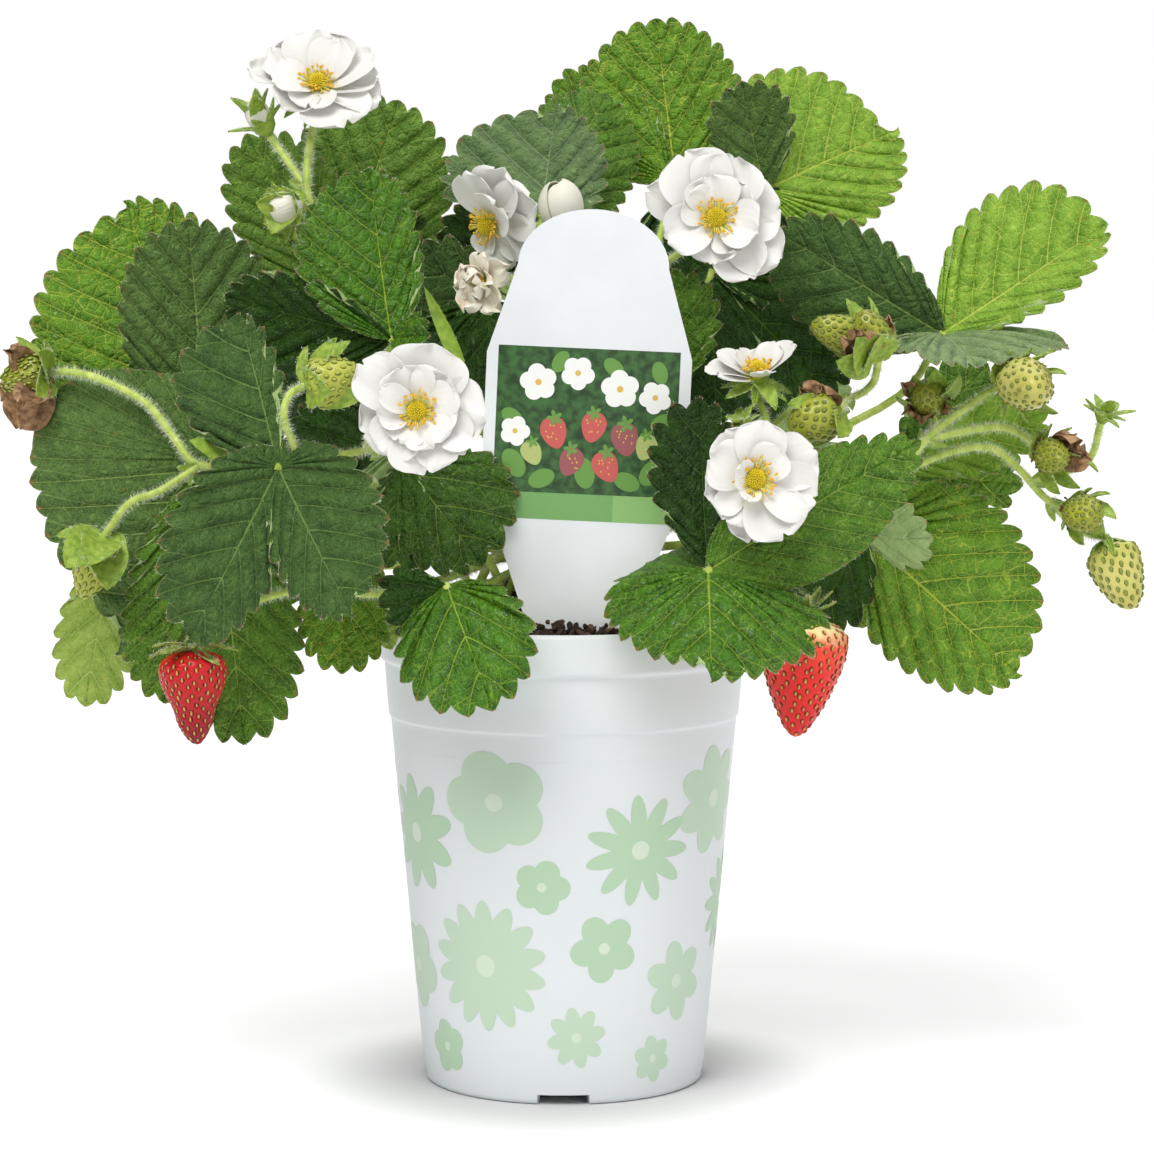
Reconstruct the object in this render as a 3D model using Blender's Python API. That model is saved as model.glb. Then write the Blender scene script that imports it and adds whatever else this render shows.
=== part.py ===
"""A strawberry plant in flower and fruit, growing in a white nursery pot with its soil and plant tag.

Metres, +Z up. The origin is on the ground under the middle of the pot. Every leaf, flower stalk,
flower, fruit and bud is a solid of its own. The crown is the short stem that they all grow from.
"""

import math

import bmesh
import bpy
from mathutils import Matrix, Vector

MM = 0.001
GAP = 0.3 * MM

# The photograph's view: places given as (across, down, depth) are a pixel of its 1154 x 1154
# frame, and the distance in millimetres behind the pot's middle.
EYE = Vector((3.9 * MM, -1100.0 * MM, 250.0 * MM))
EYE_TILT = math.radians(5.3)
EYE_FOCAL = 3770.0
FRAME_MIDDLE = 577.0

# Pot: a nursery pot of about 0.74 litre, 108 mm across its rim
POT_HEIGHT = 136.5 * MM
RIM_RADIUS = 54.0 * MM
RIM_BAND = 12.0 * MM
UNDER_RIM_RADIUS = 52.6 * MM
STEP_DOWN = 28.5 * MM
STEP_RADIUS = 51.4 * MM
STEP_WIDTH = 0.6 * MM
FOOT_RADIUS = 41.0 * MM
FOOT_RING = 4.5 * MM
FLOOR_LIFT = 3.5 * MM
FLOOR_TOP = 5.2 * MM
WALL = 1.3 * MM
EDGE_ROUND = 0.8 * MM
POT_SIDES = 32
NOTCH_WIDTH = 15.0 * MM
NOTCH_HEIGHT = 3.0 * MM
NOTCH_DEPTH = 14.0 * MM
NOTCHES = 4
DRAIN_RADIUS = 4.0 * MM
DRAIN_CIRCLE = 24.0 * MM
DRAIN_SIDES = 8

# Soil: fills the pot and is heaped towards the crown
SOIL_EDGE = 131.0 * MM
SOIL_HEAP = 17.0 * MM
SOIL_HEAP_RINGS = (38.0 * MM, 24.0 * MM)
SOIL_GAP = 0.6 * MM
SOIL_SIDES = 24

# Crown
CROWN_RADIUS = 10.0 * MM
CROWN_TIP_RADIUS = 6.5 * MM
CROWN_BOTTOM = 138.0 * MM
CROWN_TOP = 162.0 * MM
CROWN_ROUND = 4.0 * MM
CROWN_FOOT_SHARE = 0.8
CROWN_SIDES = 12

# Stems leave the crown in stacked rings: those that lean out most from the lowest ring
STEM_RINGS = 4
STEM_RING_LOW = 150.3 * MM
STEM_RING_RISE = 3.4 * MM
STEM_RING_NARROWS = 0.9 * MM
STEM_LEAN_LOW = math.radians(25)
STEM_LEAN_RISE = math.radians(10)
STEM_FIRST_REACH = 13.0 * MM
STEM_START_GAP = 2.0 * MM
STEM_FAN = 0.2

# Tag: a white plastic label with an arched top and a tapered stake
TAG_FOOT = (577.0, 632.0, -41.0)
TAG_TURN = math.radians(2.6)
TAG_LEAN = math.radians(1.0)
TAG_WIDTH = 57.7 * MM
TAG_ARCH_WIDTH = 42.4 * MM
TAG_ARCH_RISE = 16.0 * MM
TAG_ARCH_STEPS = 6
TAG_TOP = 119.0 * MM
TAG_CORNER = 78.0 * MM
TAG_SHOULDER = 34.0 * MM
TAG_CHAMFER = 4.0 * MM
TAG_STAKE_WIDTH = 27.5 * MM
TAG_POINT_WIDTH = 9.0 * MM
TAG_BURIED = 36.0 * MM
TAG_THICK = 0.7 * MM

# Stems
PETIOLE_RADIUS = 1.35 * MM
STALK_RADIUS = 1.35 * MM
PEDICEL_RADIUS = 1.05 * MM
STEM_SIDES = 4
LONG_SPAN = 15.0 * MM
STEM_END_GAP = 1.2 * MM
STEM_SIDE_HINT = Vector((0.31, 0.17, 0.93))

# Leaflets
BLADE_THICK = 0.8 * MM
BLADE_ROWS = 3
HUB_REACH = 1.2 * MM
HUB_STAGGER = 0.25 * MM
SWEEP_FADE = 0.6
USUAL_WEDGE = 0.8
USUAL_POINT = 0.48
LEAST_BEND = 1e-4
LEAST_HALF_WIDTH = 0.7 * MM
TIP_SHARE = 0.985

# Flowers: each ring's share of the radius, of the cup's depth and of the petals' thickness
PETAL_THICK = 1.2 * MM
FLOWER_SIDES = 10
FLOWER_RINGS = ((0.0, -1.0, 0), (0.6, -0.5, 0), (1.0, 0.3, 0), (0.94, 0.3, 1), (0.36, -0.3, 1), (0.0, 0.4, 1))

# Fruits: each of the body's lower rings as its share of the radius and of the length
CALYX_RISE = 0.8 * MM
CALYX_THICK = 1.4 * MM
FRUIT_NECK = 0.85
FRUIT_RINGS = ((1.0, 0.38), (0.62, 0.82), (0.0, 1.0))
FRUIT_SIDES = 8

# Buds: each ring's share of the radius and of the length
BUD_RINGS = ((0.0, 0.0), (0.6, 0.06), (1.0, 0.5), (0.0, 1.0))
BUD_SIDES = 7


def seen(place):
    """The point at pixel (across, down) of the photograph, depth millimetres behind the pot's middle."""
    across, down, depth = place
    right = (across - FRAME_MIDDLE) / EYE_FOCAL
    up = (FRAME_MIDDLE - down) / EYE_FOCAL
    forward = math.cos(EYE_TILT) + up * math.sin(EYE_TILT)
    rise = up * math.cos(EYE_TILT) - math.sin(EYE_TILT)
    reach = (depth * MM - EYE.y) / forward
    return EYE + Vector((right, forward, rise)) * reach


# ------------------------------------------------------------------------------ the plant's plan
# Each leaf: the hub where its petiole ends, points its petiole passes, and its leaflets.
# Each leaflet: its tip, the widths in millimetres of its left and right half seen from its base,
# roll about its midrib away from facing the viewer, bend along the midrib and fold across it in
# degrees (positive lifts towards the face), how wedge-shaped its base and how pointed its end is,
# and how many millimetres each half is swept back towards the base.
def leaflet(tip, left, right, roll=0, bend=0, fold=0, wedge=USUAL_WEDGE, point=USUAL_POINT, sweep=(0, 0)):
    """One leaflet's plan."""
    return {
        "tip": tip, "left": left * MM, "right": right * MM,
        "roll": roll, "bend": bend, "fold": fold, "wedge": wedge, "point": point,
        "sweep": [back * MM for back in sweep],
    }


LEAVES = {
    "leaf_front_left": {
        "hub": (278, 467, -62),
        "past": [(400, 520, -34)],
        "leaflets": [
            leaflet((240, 318, -56), 24, 5.5, roll=-20, bend=10, fold=10),
            leaflet((188, 640, -80), 13, 21, roll=-10, bend=-25, fold=10, wedge=0.55, sweep=(0, 5)),
            leaflet((352, 614, -82), 22, 13, roll=10, bend=-25, fold=10, wedge=0.6, sweep=(7, 0)),
        ],
    },
    "leaf_left_high": {
        "hub": (205, 430, -12),
        "past": [(400, 505, 4)],
        "leaflets": [
            leaflet((126, 204, 8), 40, 24, roll=0, bend=10, fold=2, wedge=0.5, sweep=(6, 0)),
            leaflet((188, 222, -22), 22, 23, roll=-8, bend=10, fold=10, wedge=0.55),
            leaflet((240, 300, 2), 19, 19, roll=0, bend=-10, fold=10),
        ],
    },
    "leaf_left_low": {
        "hub": (212, 459, -34),
        "past": [(330, 520, -26)],
        "leaflets": [
            leaflet((118, 652, -34), 18, 51, roll=0, bend=-35, fold=-12, wedge=0.26, sweep=(0, 20)),
            leaflet((165, 700, -50), 16, 16, roll=0, bend=-15, fold=10),
            leaflet((244, 740, -54), 19, 17, roll=0, bend=-20, fold=10),
        ],
    },
    "leaf_far_left": {
        "hub": (112, 560, 14),
        "past": [(380, 566, 22)],
        "leaflets": [
            leaflet((86, 703, 10), 12, 12, roll=15, bend=-15, fold=8, wedge=0.6),
            leaflet((80, 480, 26), 13, 13, roll=10, bend=10, fold=10),
            leaflet((190, 620, 26), 13, 13, roll=-10, bend=-10, fold=10),
        ],
    },
    "leaf_low_left": {
        "hub": (348, 552, -36),
        "past": [(472, 592, -22), (452, 566, -32)],
        "leaflets": [
            leaflet((342, 670, -48), 13, 13, roll=0, bend=-15, fold=12, wedge=0.6),
            leaflet((305, 610, -42), 9, 9, roll=20, bend=-10, fold=10),
            leaflet((390, 646, -40), 9, 9, roll=-30, bend=-10, fold=10),
        ],
    },
    "leaf_front_centre": {
        "hub": (447, 586, -62),
        "past": [(474, 590, -38)],
        "leaflets": [
            leaflet((492, 706, -78), 18, 20, roll=5, bend=-20, fold=8, wedge=0.5),
            leaflet((390, 620, -64), 9, 13, roll=-20, bend=-20, fold=14),
            leaflet((412, 618, -50), 7, 7, roll=0, bend=-20, fold=14),
        ],
    },
    "leaf_inner_left": {
        "hub": (402, 462, -40),
        "past": [(504, 595, -22), (487, 558, -34)],
        "leaflets": [
            leaflet((480, 562, -44), 22, 15, roll=0, bend=-15, fold=10, wedge=0.6),
            leaflet((412, 567, -44), 9, 12, roll=-10, bend=-20, fold=12),
            leaflet((380, 510, -42), 6, 6, roll=-50, bend=-10, fold=10),
        ],
    },
    "leaf_upper_left": {
        "hub": (392, 340, -38),
        "past": [(490, 440, -20)],
        "leaflets": [
            leaflet((370, 171, -36), 25, 12, roll=8, bend=22, fold=20, wedge=0.55),
            leaflet((228, 296, -32), 17, 13, roll=-25, bend=-10, fold=14, point=0.6),
            leaflet((428, 336, -50), 7, 7, roll=-20, bend=-20, fold=18),
        ],
    },
    "leaf_back_left": {
        "hub": (335, 298, 26),
        "past": [],
        "leaflets": [
            leaflet((398, 104, 34), 25, 24, roll=5, bend=15, fold=8, wedge=0.6),
            leaflet((248, 138, 26), 17, 17, roll=-15, bend=12, fold=10, wedge=0.6),
            leaflet((452, 268, 44), 20, 20, roll=20, bend=-10, fold=10),
        ],
    },
    "leaf_behind_tag": {
        "hub": (487, 303, 3),
        "past": [(548, 450, -16)],
        "leaflets": [
            leaflet((414, 256, 5), 14, 12, roll=-25, bend=10, fold=10, wedge=0.5),
            leaflet((438, 420, -14), 16, 16, roll=10, bend=-15, fold=12, wedge=0.5),
            leaflet((505, 425, -18), 15, 15, roll=-10, bend=-15, fold=12, wedge=0.45),
        ],
    },
    "leaf_top_centre": {
        "hub": (540, 222, 14),
        "past": [],
        "leaflets": [
            leaflet((556, 108, 40), 30, 17, roll=0, bend=20, fold=8, wedge=0.42, sweep=(7, 0)),
            leaflet((606, 96, 60), 17, 20, roll=10, bend=20, fold=10, wedge=0.6),
            leaflet((440, 250, 8), 15, 14, roll=-30, bend=-20, fold=10),
        ],
    },
    "leaf_top": {
        "hub": (676, 182, 60),
        "past": [],
        "leaflets": [
            leaflet((656, 22, 74), 28, 24, roll=0, bend=15, fold=8, wedge=0.36),
            leaflet((556, 84, 80), 14, 14, roll=-10, bend=15, fold=10),
            leaflet((700, 290, 66), 18, 18, roll=0, bend=-20, fold=10),
        ],
    },
    "leaf_top_right": {
        "hub": (765, 190, 36),
        "past": [],
        "leaflets": [
            leaflet((896, 130, 46), 33, 22, roll=-10, bend=-12, fold=8, wedge=0.4, sweep=(11, 0)),
            leaflet((742, 84, 26), 13, 13, roll=10, bend=12, fold=12),
            leaflet((812, 262, 50), 16, 16, roll=-10, bend=-20, fold=10),
        ],
    },
    "leaf_right_high": {
        "hub": (942, 334, -22),
        "past": [(880, 408, -6)],
        "leaflets": [
            leaflet((780, 232, -12), 20, 14, roll=-10, bend=-10, fold=10, wedge=0.6),
            leaflet((1104, 226, -22), 26, 10, roll=-10, bend=10, fold=12, wedge=0.7),
            leaflet((976, 366, -46), 33, 17, roll=-46, bend=-15, fold=8, wedge=0.4, sweep=(0, 0)),
        ],
    },
    "leaf_right_mid": {
        "hub": (900, 470, 14),
        "past": [],
        "leaflets": [
            leaflet((1044, 412, 12), 11, 11, roll=-10, bend=-10, fold=10),
            leaflet((1018, 484, 18), 9, 9, roll=10, bend=-15, fold=10),
            leaflet((985, 366, 26), 12, 12, roll=0, bend=10, fold=10),
        ],
    },
    "leaf_right_low": {
        "hub": (864, 534, -14),
        "past": [],
        "leaflets": [
            leaflet((1018, 674, -18), 31, 21, roll=0, bend=-15, fold=6, wedge=0.4, sweep=(5, 0)),
            leaflet((930, 538, -24), 11, 10, roll=30, bend=-20, fold=10),
            leaflet((810, 630, -24), 11, 11, roll=0, bend=-20, fold=10),
        ],
    },
    "leaf_front_right": {
        "hub": (708, 570, -66),
        "past": [],
        "leaflets": [
            leaflet((700, 402, -52), 15, 9, roll=10, bend=15, fold=14),
            leaflet((918, 442, -54), 14, 19, roll=-8, bend=-12, fold=10, wedge=0.6, point=0.75),
            leaflet((712, 684, -90), 33, 29, roll=0, bend=-35, fold=-12, wedge=0.32, sweep=(4, 16)),
        ],
    },
    "leaf_inner_right": {
        "hub": (712, 272, 2),
        "past": [],
        "leaflets": [
            leaflet((832, 396, 2), 23, 22, roll=0, bend=-15, fold=12),
            leaflet((812, 268, 10), 13, 13, roll=-20, bend=-15, fold=10),
            leaflet((717, 424, -6), 15, 17, roll=10, bend=-15, fold=10),
        ],
    },
    "leaf_beside_tag": {
        "hub": (668, 392, -22),
        "past": [],
        "leaflets": [
            leaflet((676, 272, -20), 14, 13, roll=0, bend=10, fold=10),
            leaflet((640, 480, -28), 12, 12, roll=0, bend=-10, fold=10),
            leaflet((694, 486, -32), 12, 12, roll=0, bend=-15, fold=10),
        ],
    },
    "leaf_rear_left": {
        "hub": (420, 430, 62),
        "past": [],
        "leaflets": [
            leaflet((278, 350, 84), 24, 24, roll=-10, bend=-15, fold=-10),
            leaflet((400, 560, 92), 20, 20, roll=180, bend=20, fold=-10),
            leaflet((292, 478, 70), 20, 20, roll=-10, bend=15, fold=-10),
        ],
    },
    "leaf_rear_middle": {
        "hub": (570, 330, 78),
        "past": [],
        "leaflets": [
            leaflet((530, 200, 92), 21, 21, roll=180, bend=-15, fold=-10),
            leaflet((470, 420, 92), 20, 20, roll=170, bend=20, fold=-10),
            leaflet((650, 400, 94), 20, 20, roll=190, bend=20, fold=-10),
        ],
    },
    "leaf_rear_right": {
        "hub": (740, 430, 66),
        "past": [(660, 490, 44)],
        "leaflets": [
            leaflet((842, 370, 84), 15, 14, roll=200, bend=-15, fold=-10),
            leaflet((770, 570, 90), 20, 20, roll=180, bend=20, fold=-10),
            leaflet((880, 524, 74), 14, 15, roll=190, bend=15, fold=-10),
        ],
    },
}

# Each flower: its centre, the way it faces, and its radius and cup depth in millimetres.
FLOWERS = {
    "flower_top_left": {"centre": (318, 84, -4), "faces": (0.0, -0.72, 0.69), "radius": 19, "cup": 5},
    "flower_top_right": {"centre": (716, 218, -28), "faces": (0.0, -0.97, 0.22), "radius": 20, "cup": 5},
    "flower_behind_tag": {"centre": (486, 226, -15), "faces": (-0.62, -0.72, -0.3), "radius": 15, "cup": 7},
    "flower_wilted": {"centre": (478, 281, -26), "faces": (-0.5, -0.8, -0.1), "radius": 8, "cup": 6},
    "flower_front_right": {"centre": (755, 479, -76), "faces": (0.05, -0.99, 0.1), "radius": 17, "cup": 4},
    "flower_half_spent": {"centre": (758, 366, -46), "faces": (0.05, -0.42, 0.9), "radius": 13, "cup": 8},
    "flower_front_left": {"centre": (417, 411, -78), "faces": (-0.05, -0.99, 0.1), "radius": 19, "cup": 4},
}

# Each fruit: where its stalk ends, its tip, and the radii of its body and calyx in millimetres.
FRUITS = {
    "fruit_red_left": {"top": (190, 646, -68), "tip": (197, 745, -69), "radius": 9.8, "calyx": 11},
    "fruit_red_right": {"top": (806, 613, -62), "tip": (795, 737, -64), "radius": 12.4, "calyx": 9},
    "fruit_dried": {"top": (48, 374, -16), "tip": (2, 383, -18), "radius": 8.0, "calyx": 10},
    "fruit_green_left": {"top": (104, 538, -50), "tip": (82, 598, -54), "radius": 6.0, "calyx": 10},
    "fruit_green_hooked": {"top": (306, 386, -62), "tip": (363, 373, -64), "radius": 7.0, "calyx": 9},
    "fruit_double": {"top": (875, 360, -42), "tip": (826, 318, -46), "radius": 9.4, "calyx": 9},
    "fruit_green_middle": {"top": (836, 410, -44), "tip": (790, 430, -50), "radius": 7.0, "calyx": 8},
    "fruit_dark_small": {"top": (930, 404, -18), "tip": (926, 388, -28), "radius": 5.6, "calyx": 8},
    "fruit_white_right": {"top": (1020, 382, -36), "tip": (1036, 389, -58), "radius": 8.0, "calyx": 10},
    "fruit_right_second": {"top": (1045, 452, -38), "tip": (1062, 462, -52), "radius": 5.6, "calyx": 8},
    "fruit_right_third": {"top": (1078, 508, -38), "tip": (1092, 524, -52), "radius": 5.6, "calyx": 8},
    "fruit_right_long": {"top": (1106, 541, -40), "tip": (1133, 609, -45), "radius": 7.3, "calyx": 7},
}

# Each bud: its base, its tip, and its radius in millimetres.
BUDS = {
    "bud_top_left": {"top": (268, 133, 0), "tip": (247, 94, -2), "radius": 5.4},
    "bud_white_left": {"top": (299, 205, -14), "tip": (268, 212, -20), "radius": 5.6},
    "bud_white_centre": {"top": (562, 226, -12), "tip": (558, 184, -16), "radius": 5.6},
    "bud_right_empty": {"top": (1102, 420, -36), "tip": (1113, 388, -38), "radius": 4.2},
    "bud_small": {"top": (744, 426, -48), "tip": (736, 408, -50), "radius": 3.4},
}

# Each flower stalk: the places its main stem passes, and its branches. A branch starts at its
# first place and ends under what it carries.
STALKS = {
    "stalk_left": {
        "stem": [(330, 475, -40), (272, 467, -50), (200, 465, -48), (176, 440, -44), (146, 403, -32)],
        "carries": "fruit_dried",
        "last": [(100, 379, -27), (68, 372, -22)],
        "branches": [
            {
                "from": (200, 465, -48),
                "past": [(160, 491, -50), (130, 503, -50)],
                "carries": "fruit_green_left",
            },
        ],
    },
    "stalk_top_left": {
        "stem": [(440, 430, 4), (360, 300, -6), (318, 218, -10), (307, 190, -10)],
        "carries": "flower_top_left",
        "last": [(309, 150, -6)],
        "branches": [
            {"from": (307, 190, -10), "past": [(287, 160, -5)], "carries": "bud_top_left"},
            {"from": (318, 218, -10), "past": [(310, 208, -12)], "carries": "bud_white_left"},
        ],
    },
    "stalk_front_left": {
        "stem": [(486, 520, -26), (424, 444, -38), (388, 446, -52), (374, 452, -60)],
        "carries": "flower_front_left",
        "last": [(371, 436, -66)],
        "branches": [
            {
                "from": (388, 446, -52),
                "past": [(310, 458, -58), (290, 436, -64), (284, 412, -67), (290, 394, -65)],
                "carries": "fruit_green_hooked",
            },
        ],
    },
    "stalk_centre": {
        "stem": [(560, 470, -6), (556, 330, -8), (545, 270, -10)],
        "carries": "flower_behind_tag",
        "last": [(546, 232, -8)],
        "branches": [
            {"from": (545, 270, -10), "past": [(562, 240, -10)], "carries": "bud_white_centre"},
            {"from": (556, 330, -8), "past": [(532, 284, -10)], "carries": "flower_wilted"},
        ],
    },
    "stalk_top_right": {
        "stem": [(600, 430, -14), (630, 330, -14), (658, 272, -14)],
        "carries": "flower_top_right",
        "last": [(690, 246, -12)],
        "branches": [],
    },
    "stalk_right": {
        "stem": [(720, 500, 0), (830, 488, -16), (893, 476, -26), (925, 441, -30)],
        "carries": "fruit_white_right",
        "last": [(960, 412, -30), (995, 388, -32)],
        "branches": [
            {
                "from": (925, 441, -30),
                "past": [(960, 432, -30), (1000, 427, -32), (1024, 436, -34)],
                "carries": "fruit_right_second",
            },
            {
                "from": (893, 476, -26),
                "past": [(950, 452, -26), (990, 448, -28), (1018, 468, -30), (1048, 500, -32)],
                "carries": "fruit_right_third",
            },
            {"from": (1048, 500, -32), "past": [(1080, 530, -32)], "carries": "fruit_right_long"},
            {"from": (1030, 482, -31), "past": [(1086, 462, -30)], "carries": "bud_right_empty"},
            {"from": (925, 441, -30), "past": [(934, 424, -16)], "carries": "fruit_dark_small"},
        ],
    },
    "stalk_middle_right": {
        "stem": [(680, 520, -22), (740, 460, -40), (766, 426, -46)],
        "carries": "flower_half_spent",
        "last": [],
        "branches": [
            {"from": (740, 460, -40), "past": [], "carries": "bud_small"},
            {
                "from": (740, 460, -40),
                "past": [(800, 404, -30), (850, 398, -32), (872, 384, -36)],
                "carries": "fruit_double",
            },
            {"from": (850, 398, -32), "past": [], "carries": "fruit_green_middle"},
        ],
    },
    "stalk_front_right": {
        "stem": [(646, 536, -26), (704, 512, -44), (742, 494, -60)],
        "carries": "flower_front_right",
        "last": [],
        "branches": [],
    },
    "stalk_low_left": {
        "stem": [(400, 592, -48), (300, 590, -58), (225, 612, -63)],
        "carries": "fruit_red_left",
        "last": [(198, 628, -65)],
        "branches": [],
    },
    "stalk_low_right": {
        "stem": [(660, 592, -26), (740, 592, -42), (798, 594, -54)],
        "carries": "fruit_red_right",
        "last": [],
        "branches": [],
    },
}


# --------------------------------------------------------------------------------- curved stems
def stem_starts():
    """Where each stem leaves the crown and the point it heads for first."""
    first = {name: seen((plan["past"] + [plan["hub"]])[0]) for name, plan in LEAVES.items()}
    first.update({name: seen(plan["stem"][0]) for name, plan in STALKS.items()})
    middle = Vector((0, 0, CROWN_TOP))

    def steepness(name):
        away = first[name] - middle
        return away.z / math.hypot(away.x, away.y)

    def turn_of(name):
        return math.atan2(first[name].y, first[name].x)

    rising = sorted(first, key=steepness)
    share = math.ceil(len(rising) / STEM_RINGS)
    starts = {}
    for ring in range(STEM_RINGS):
        names = sorted(rising[ring * share:(ring + 1) * share], key=turn_of)
        height = STEM_RING_LOW + STEM_RING_RISE * ring
        radius = CROWN_RADIUS - STEM_RING_NARROWS * ring + STEM_START_GAP
        lean = STEM_LEAN_LOW + STEM_LEAN_RISE * ring
        for rank, name in enumerate(names):
            even = math.tau * (rank + 0.5) / len(names) - math.pi
            turn = turn_of(name) + (even - turn_of(name)) * STEM_FAN
            outward = Vector((math.cos(turn), math.sin(turn), 0.0))
            start = outward * radius + Vector((0, 0, height))
            ahead = outward * math.cos(lean) + Vector((0, 0, math.sin(lean)))
            starts[name] = [start, start + ahead * STEM_FIRST_REACH]
    return starts


def smooth(points):
    """A smooth curve through the points, with one more point in the middle of each long span."""
    ends = [points[0] * 2 - points[1]] + list(points) + [points[-1] * 2 - points[-2]]
    curve = []
    for before, here, there, after in zip(ends, ends[1:], ends[2:], ends[3:]):
        steps = 2 if (there - here).length > LONG_SPAN else 1
        for step in range(steps):
            t = step / steps
            curve.append(
                0.5 * (2 * here + (there - before) * t
                       + (2 * before - 5 * here + 4 * there - after) * t ** 2
                       + (3 * here - before - 3 * there + after) * t ** 3)
            )
    curve.append(points[-1].copy())
    return curve


def tube(points, radius, sides=STEM_SIDES, end_radius=None):
    """A round stem along the points, closed at both ends."""
    shape = bmesh.new()
    end_radius = end_radius or radius
    side = STEM_SIDE_HINT.cross(points[1] - points[0]).normalized()
    rings = []
    for index, point in enumerate(points):
        ahead = points[min(index + 1, len(points) - 1)] - points[max(index - 1, 0)]
        ahead.normalize()
        side = (side - ahead * side.dot(ahead)).normalized()
        other = ahead.cross(side)
        size = radius + (end_radius - radius) * index / (len(points) - 1)
        ring = []
        for corner in range(sides):
            turn = math.tau * corner / sides
            ring.append(shape.verts.new(point + (side * math.cos(turn) + other * math.sin(turn)) * size))
        rings.append(ring)
    for low, high in zip(rings, rings[1:]):
        for corner in range(sides):
            after = (corner + 1) % sides
            shape.faces.new((low[corner], low[after], high[after], high[corner]))
    shape.faces.new(list(reversed(rings[0])))
    shape.faces.new(rings[-1])
    return shape


# -------------------------------------------------------------------------------------- leaflets
def outline(along, wedge, point):
    """Half the blade's width at this share of its length, as a share of half its greatest width."""
    widest = wedge / (wedge + point)
    return (along / widest) ** wedge * ((1 - along) / (1 - widest)) ** point


def blade_frame(base, tip, roll):
    """The blade's length, and its directions along, across and out of its face."""
    along = tip - base
    length = along.length
    along.normalize()
    face = EYE - (base + tip) / 2
    face = (face - along * face.dot(along)).normalized()
    face = Matrix.Rotation(math.radians(roll), 3, along) @ face
    return length, along, along.cross(face), face


def blade_point(base, frame, bend, fold, share, aside, lift):
    """A point of the blade: share of its length, metres aside from the midrib, lift above its surface."""
    length, along, across, face = frame
    turn = math.radians(bend)
    if abs(turn) < LEAST_BEND:
        turn = LEAST_BEND
    radius = length / (2 * math.sin(turn / 2))
    here = turn * (share - 0.5)
    forward = length / 2 + radius * math.sin(here)
    height = radius * (math.cos(turn / 2) - math.cos(here))
    out = face * math.cos(here) - along * math.sin(here)
    slope = math.radians(fold)
    side = across * math.cos(slope) * aside + out * math.sin(slope) * abs(aside)
    return base + along * forward + face * height + side + out * lift


def blade(base, leaf):
    """A leaflet as a thin closed solid without its teeth."""
    frame = blade_frame(base, seen(leaf["tip"]), leaf["roll"])
    shape = bmesh.new()
    layers = []
    for lift in (-BLADE_THICK / 2, BLADE_THICK / 2):
        rows = []
        for row in range(BLADE_ROWS + 1):
            share = row / BLADE_ROWS
            wide = outline(min(share, TIP_SHARE), leaf["wedge"], leaf["point"])
            left = max(wide * leaf["left"], LEAST_HALF_WIDTH)
            right = max(wide * leaf["right"], LEAST_HALF_WIDTH)
            back = (1 - SWEEP_FADE * share) * (row > 0) / frame[0]
            points = (
                (share - leaf["sweep"][0] * back, -left),
                (share, 0.0),
                (share - leaf["sweep"][1] * back, right),
            )
            rows.append([
                shape.verts.new(blade_point(base, frame, leaf["bend"], leaf["fold"], here, aside, lift))
                for here, aside in points
            ])
        layers.append(rows)
    under, over = layers
    for row in range(BLADE_ROWS):
        for col in (0, 1):
            far = col + 1
            shape.faces.new((over[row][col], over[row][far], over[row + 1][far], over[row + 1][col]))
            shape.faces.new((under[row][col], under[row + 1][col], under[row + 1][far], under[row][far]))
        shape.faces.new((under[row][0], over[row][0], over[row + 1][0], under[row + 1][0]))
        shape.faces.new((under[row][2], under[row + 1][2], over[row + 1][2], over[row][2]))
    for col in (0, 1):
        shape.faces.new((under[0][col], under[0][col + 1], over[0][col + 1], over[0][col]))
        shape.faces.new((under[-1][col], over[-1][col], over[-1][col + 1], under[-1][col + 1]))
    return shape


# ---------------------------------------------------------------------------- objects and finish
def material(name, colour, roughness):
    """A plain material."""
    made = bpy.data.materials.new(name)
    made.use_nodes = True
    surface = made.node_tree.nodes["Principled BSDF"]
    surface.inputs["Base Color"].default_value = (*colour, 1.0)
    surface.inputs["Roughness"].default_value = roughness
    surface.inputs["Metallic"].default_value = 0.0
    return made


def mesh_object(name, shape, finish):
    """A scene object from this shape, with its one material."""
    mesh = bpy.data.meshes.new(name)
    shape.to_mesh(mesh)
    shape.free()
    mesh.materials.append(finish)
    made = bpy.data.objects.new(name, mesh)
    bpy.context.scene.collection.objects.link(made)
    return made


def helper(name, shape, finish):
    """A shape that only joins or cuts another object."""
    made = mesh_object(name, shape, finish)
    made.hide_render = True
    made.display_type = "WIRE"
    return made


def combine(made, shapes, operation, finish):
    """Joins the shapes to the object, or cuts them from it."""
    for number, shape in enumerate(shapes, 1):
        other = helper(f"{made.name}_{operation.lower()}_{number}", shape, finish)
        change = made.modifiers.new(f"{operation.lower()} {number}", "BOOLEAN")
        change.operation = operation
        change.solver = "EXACT"
        change.object = other


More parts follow.
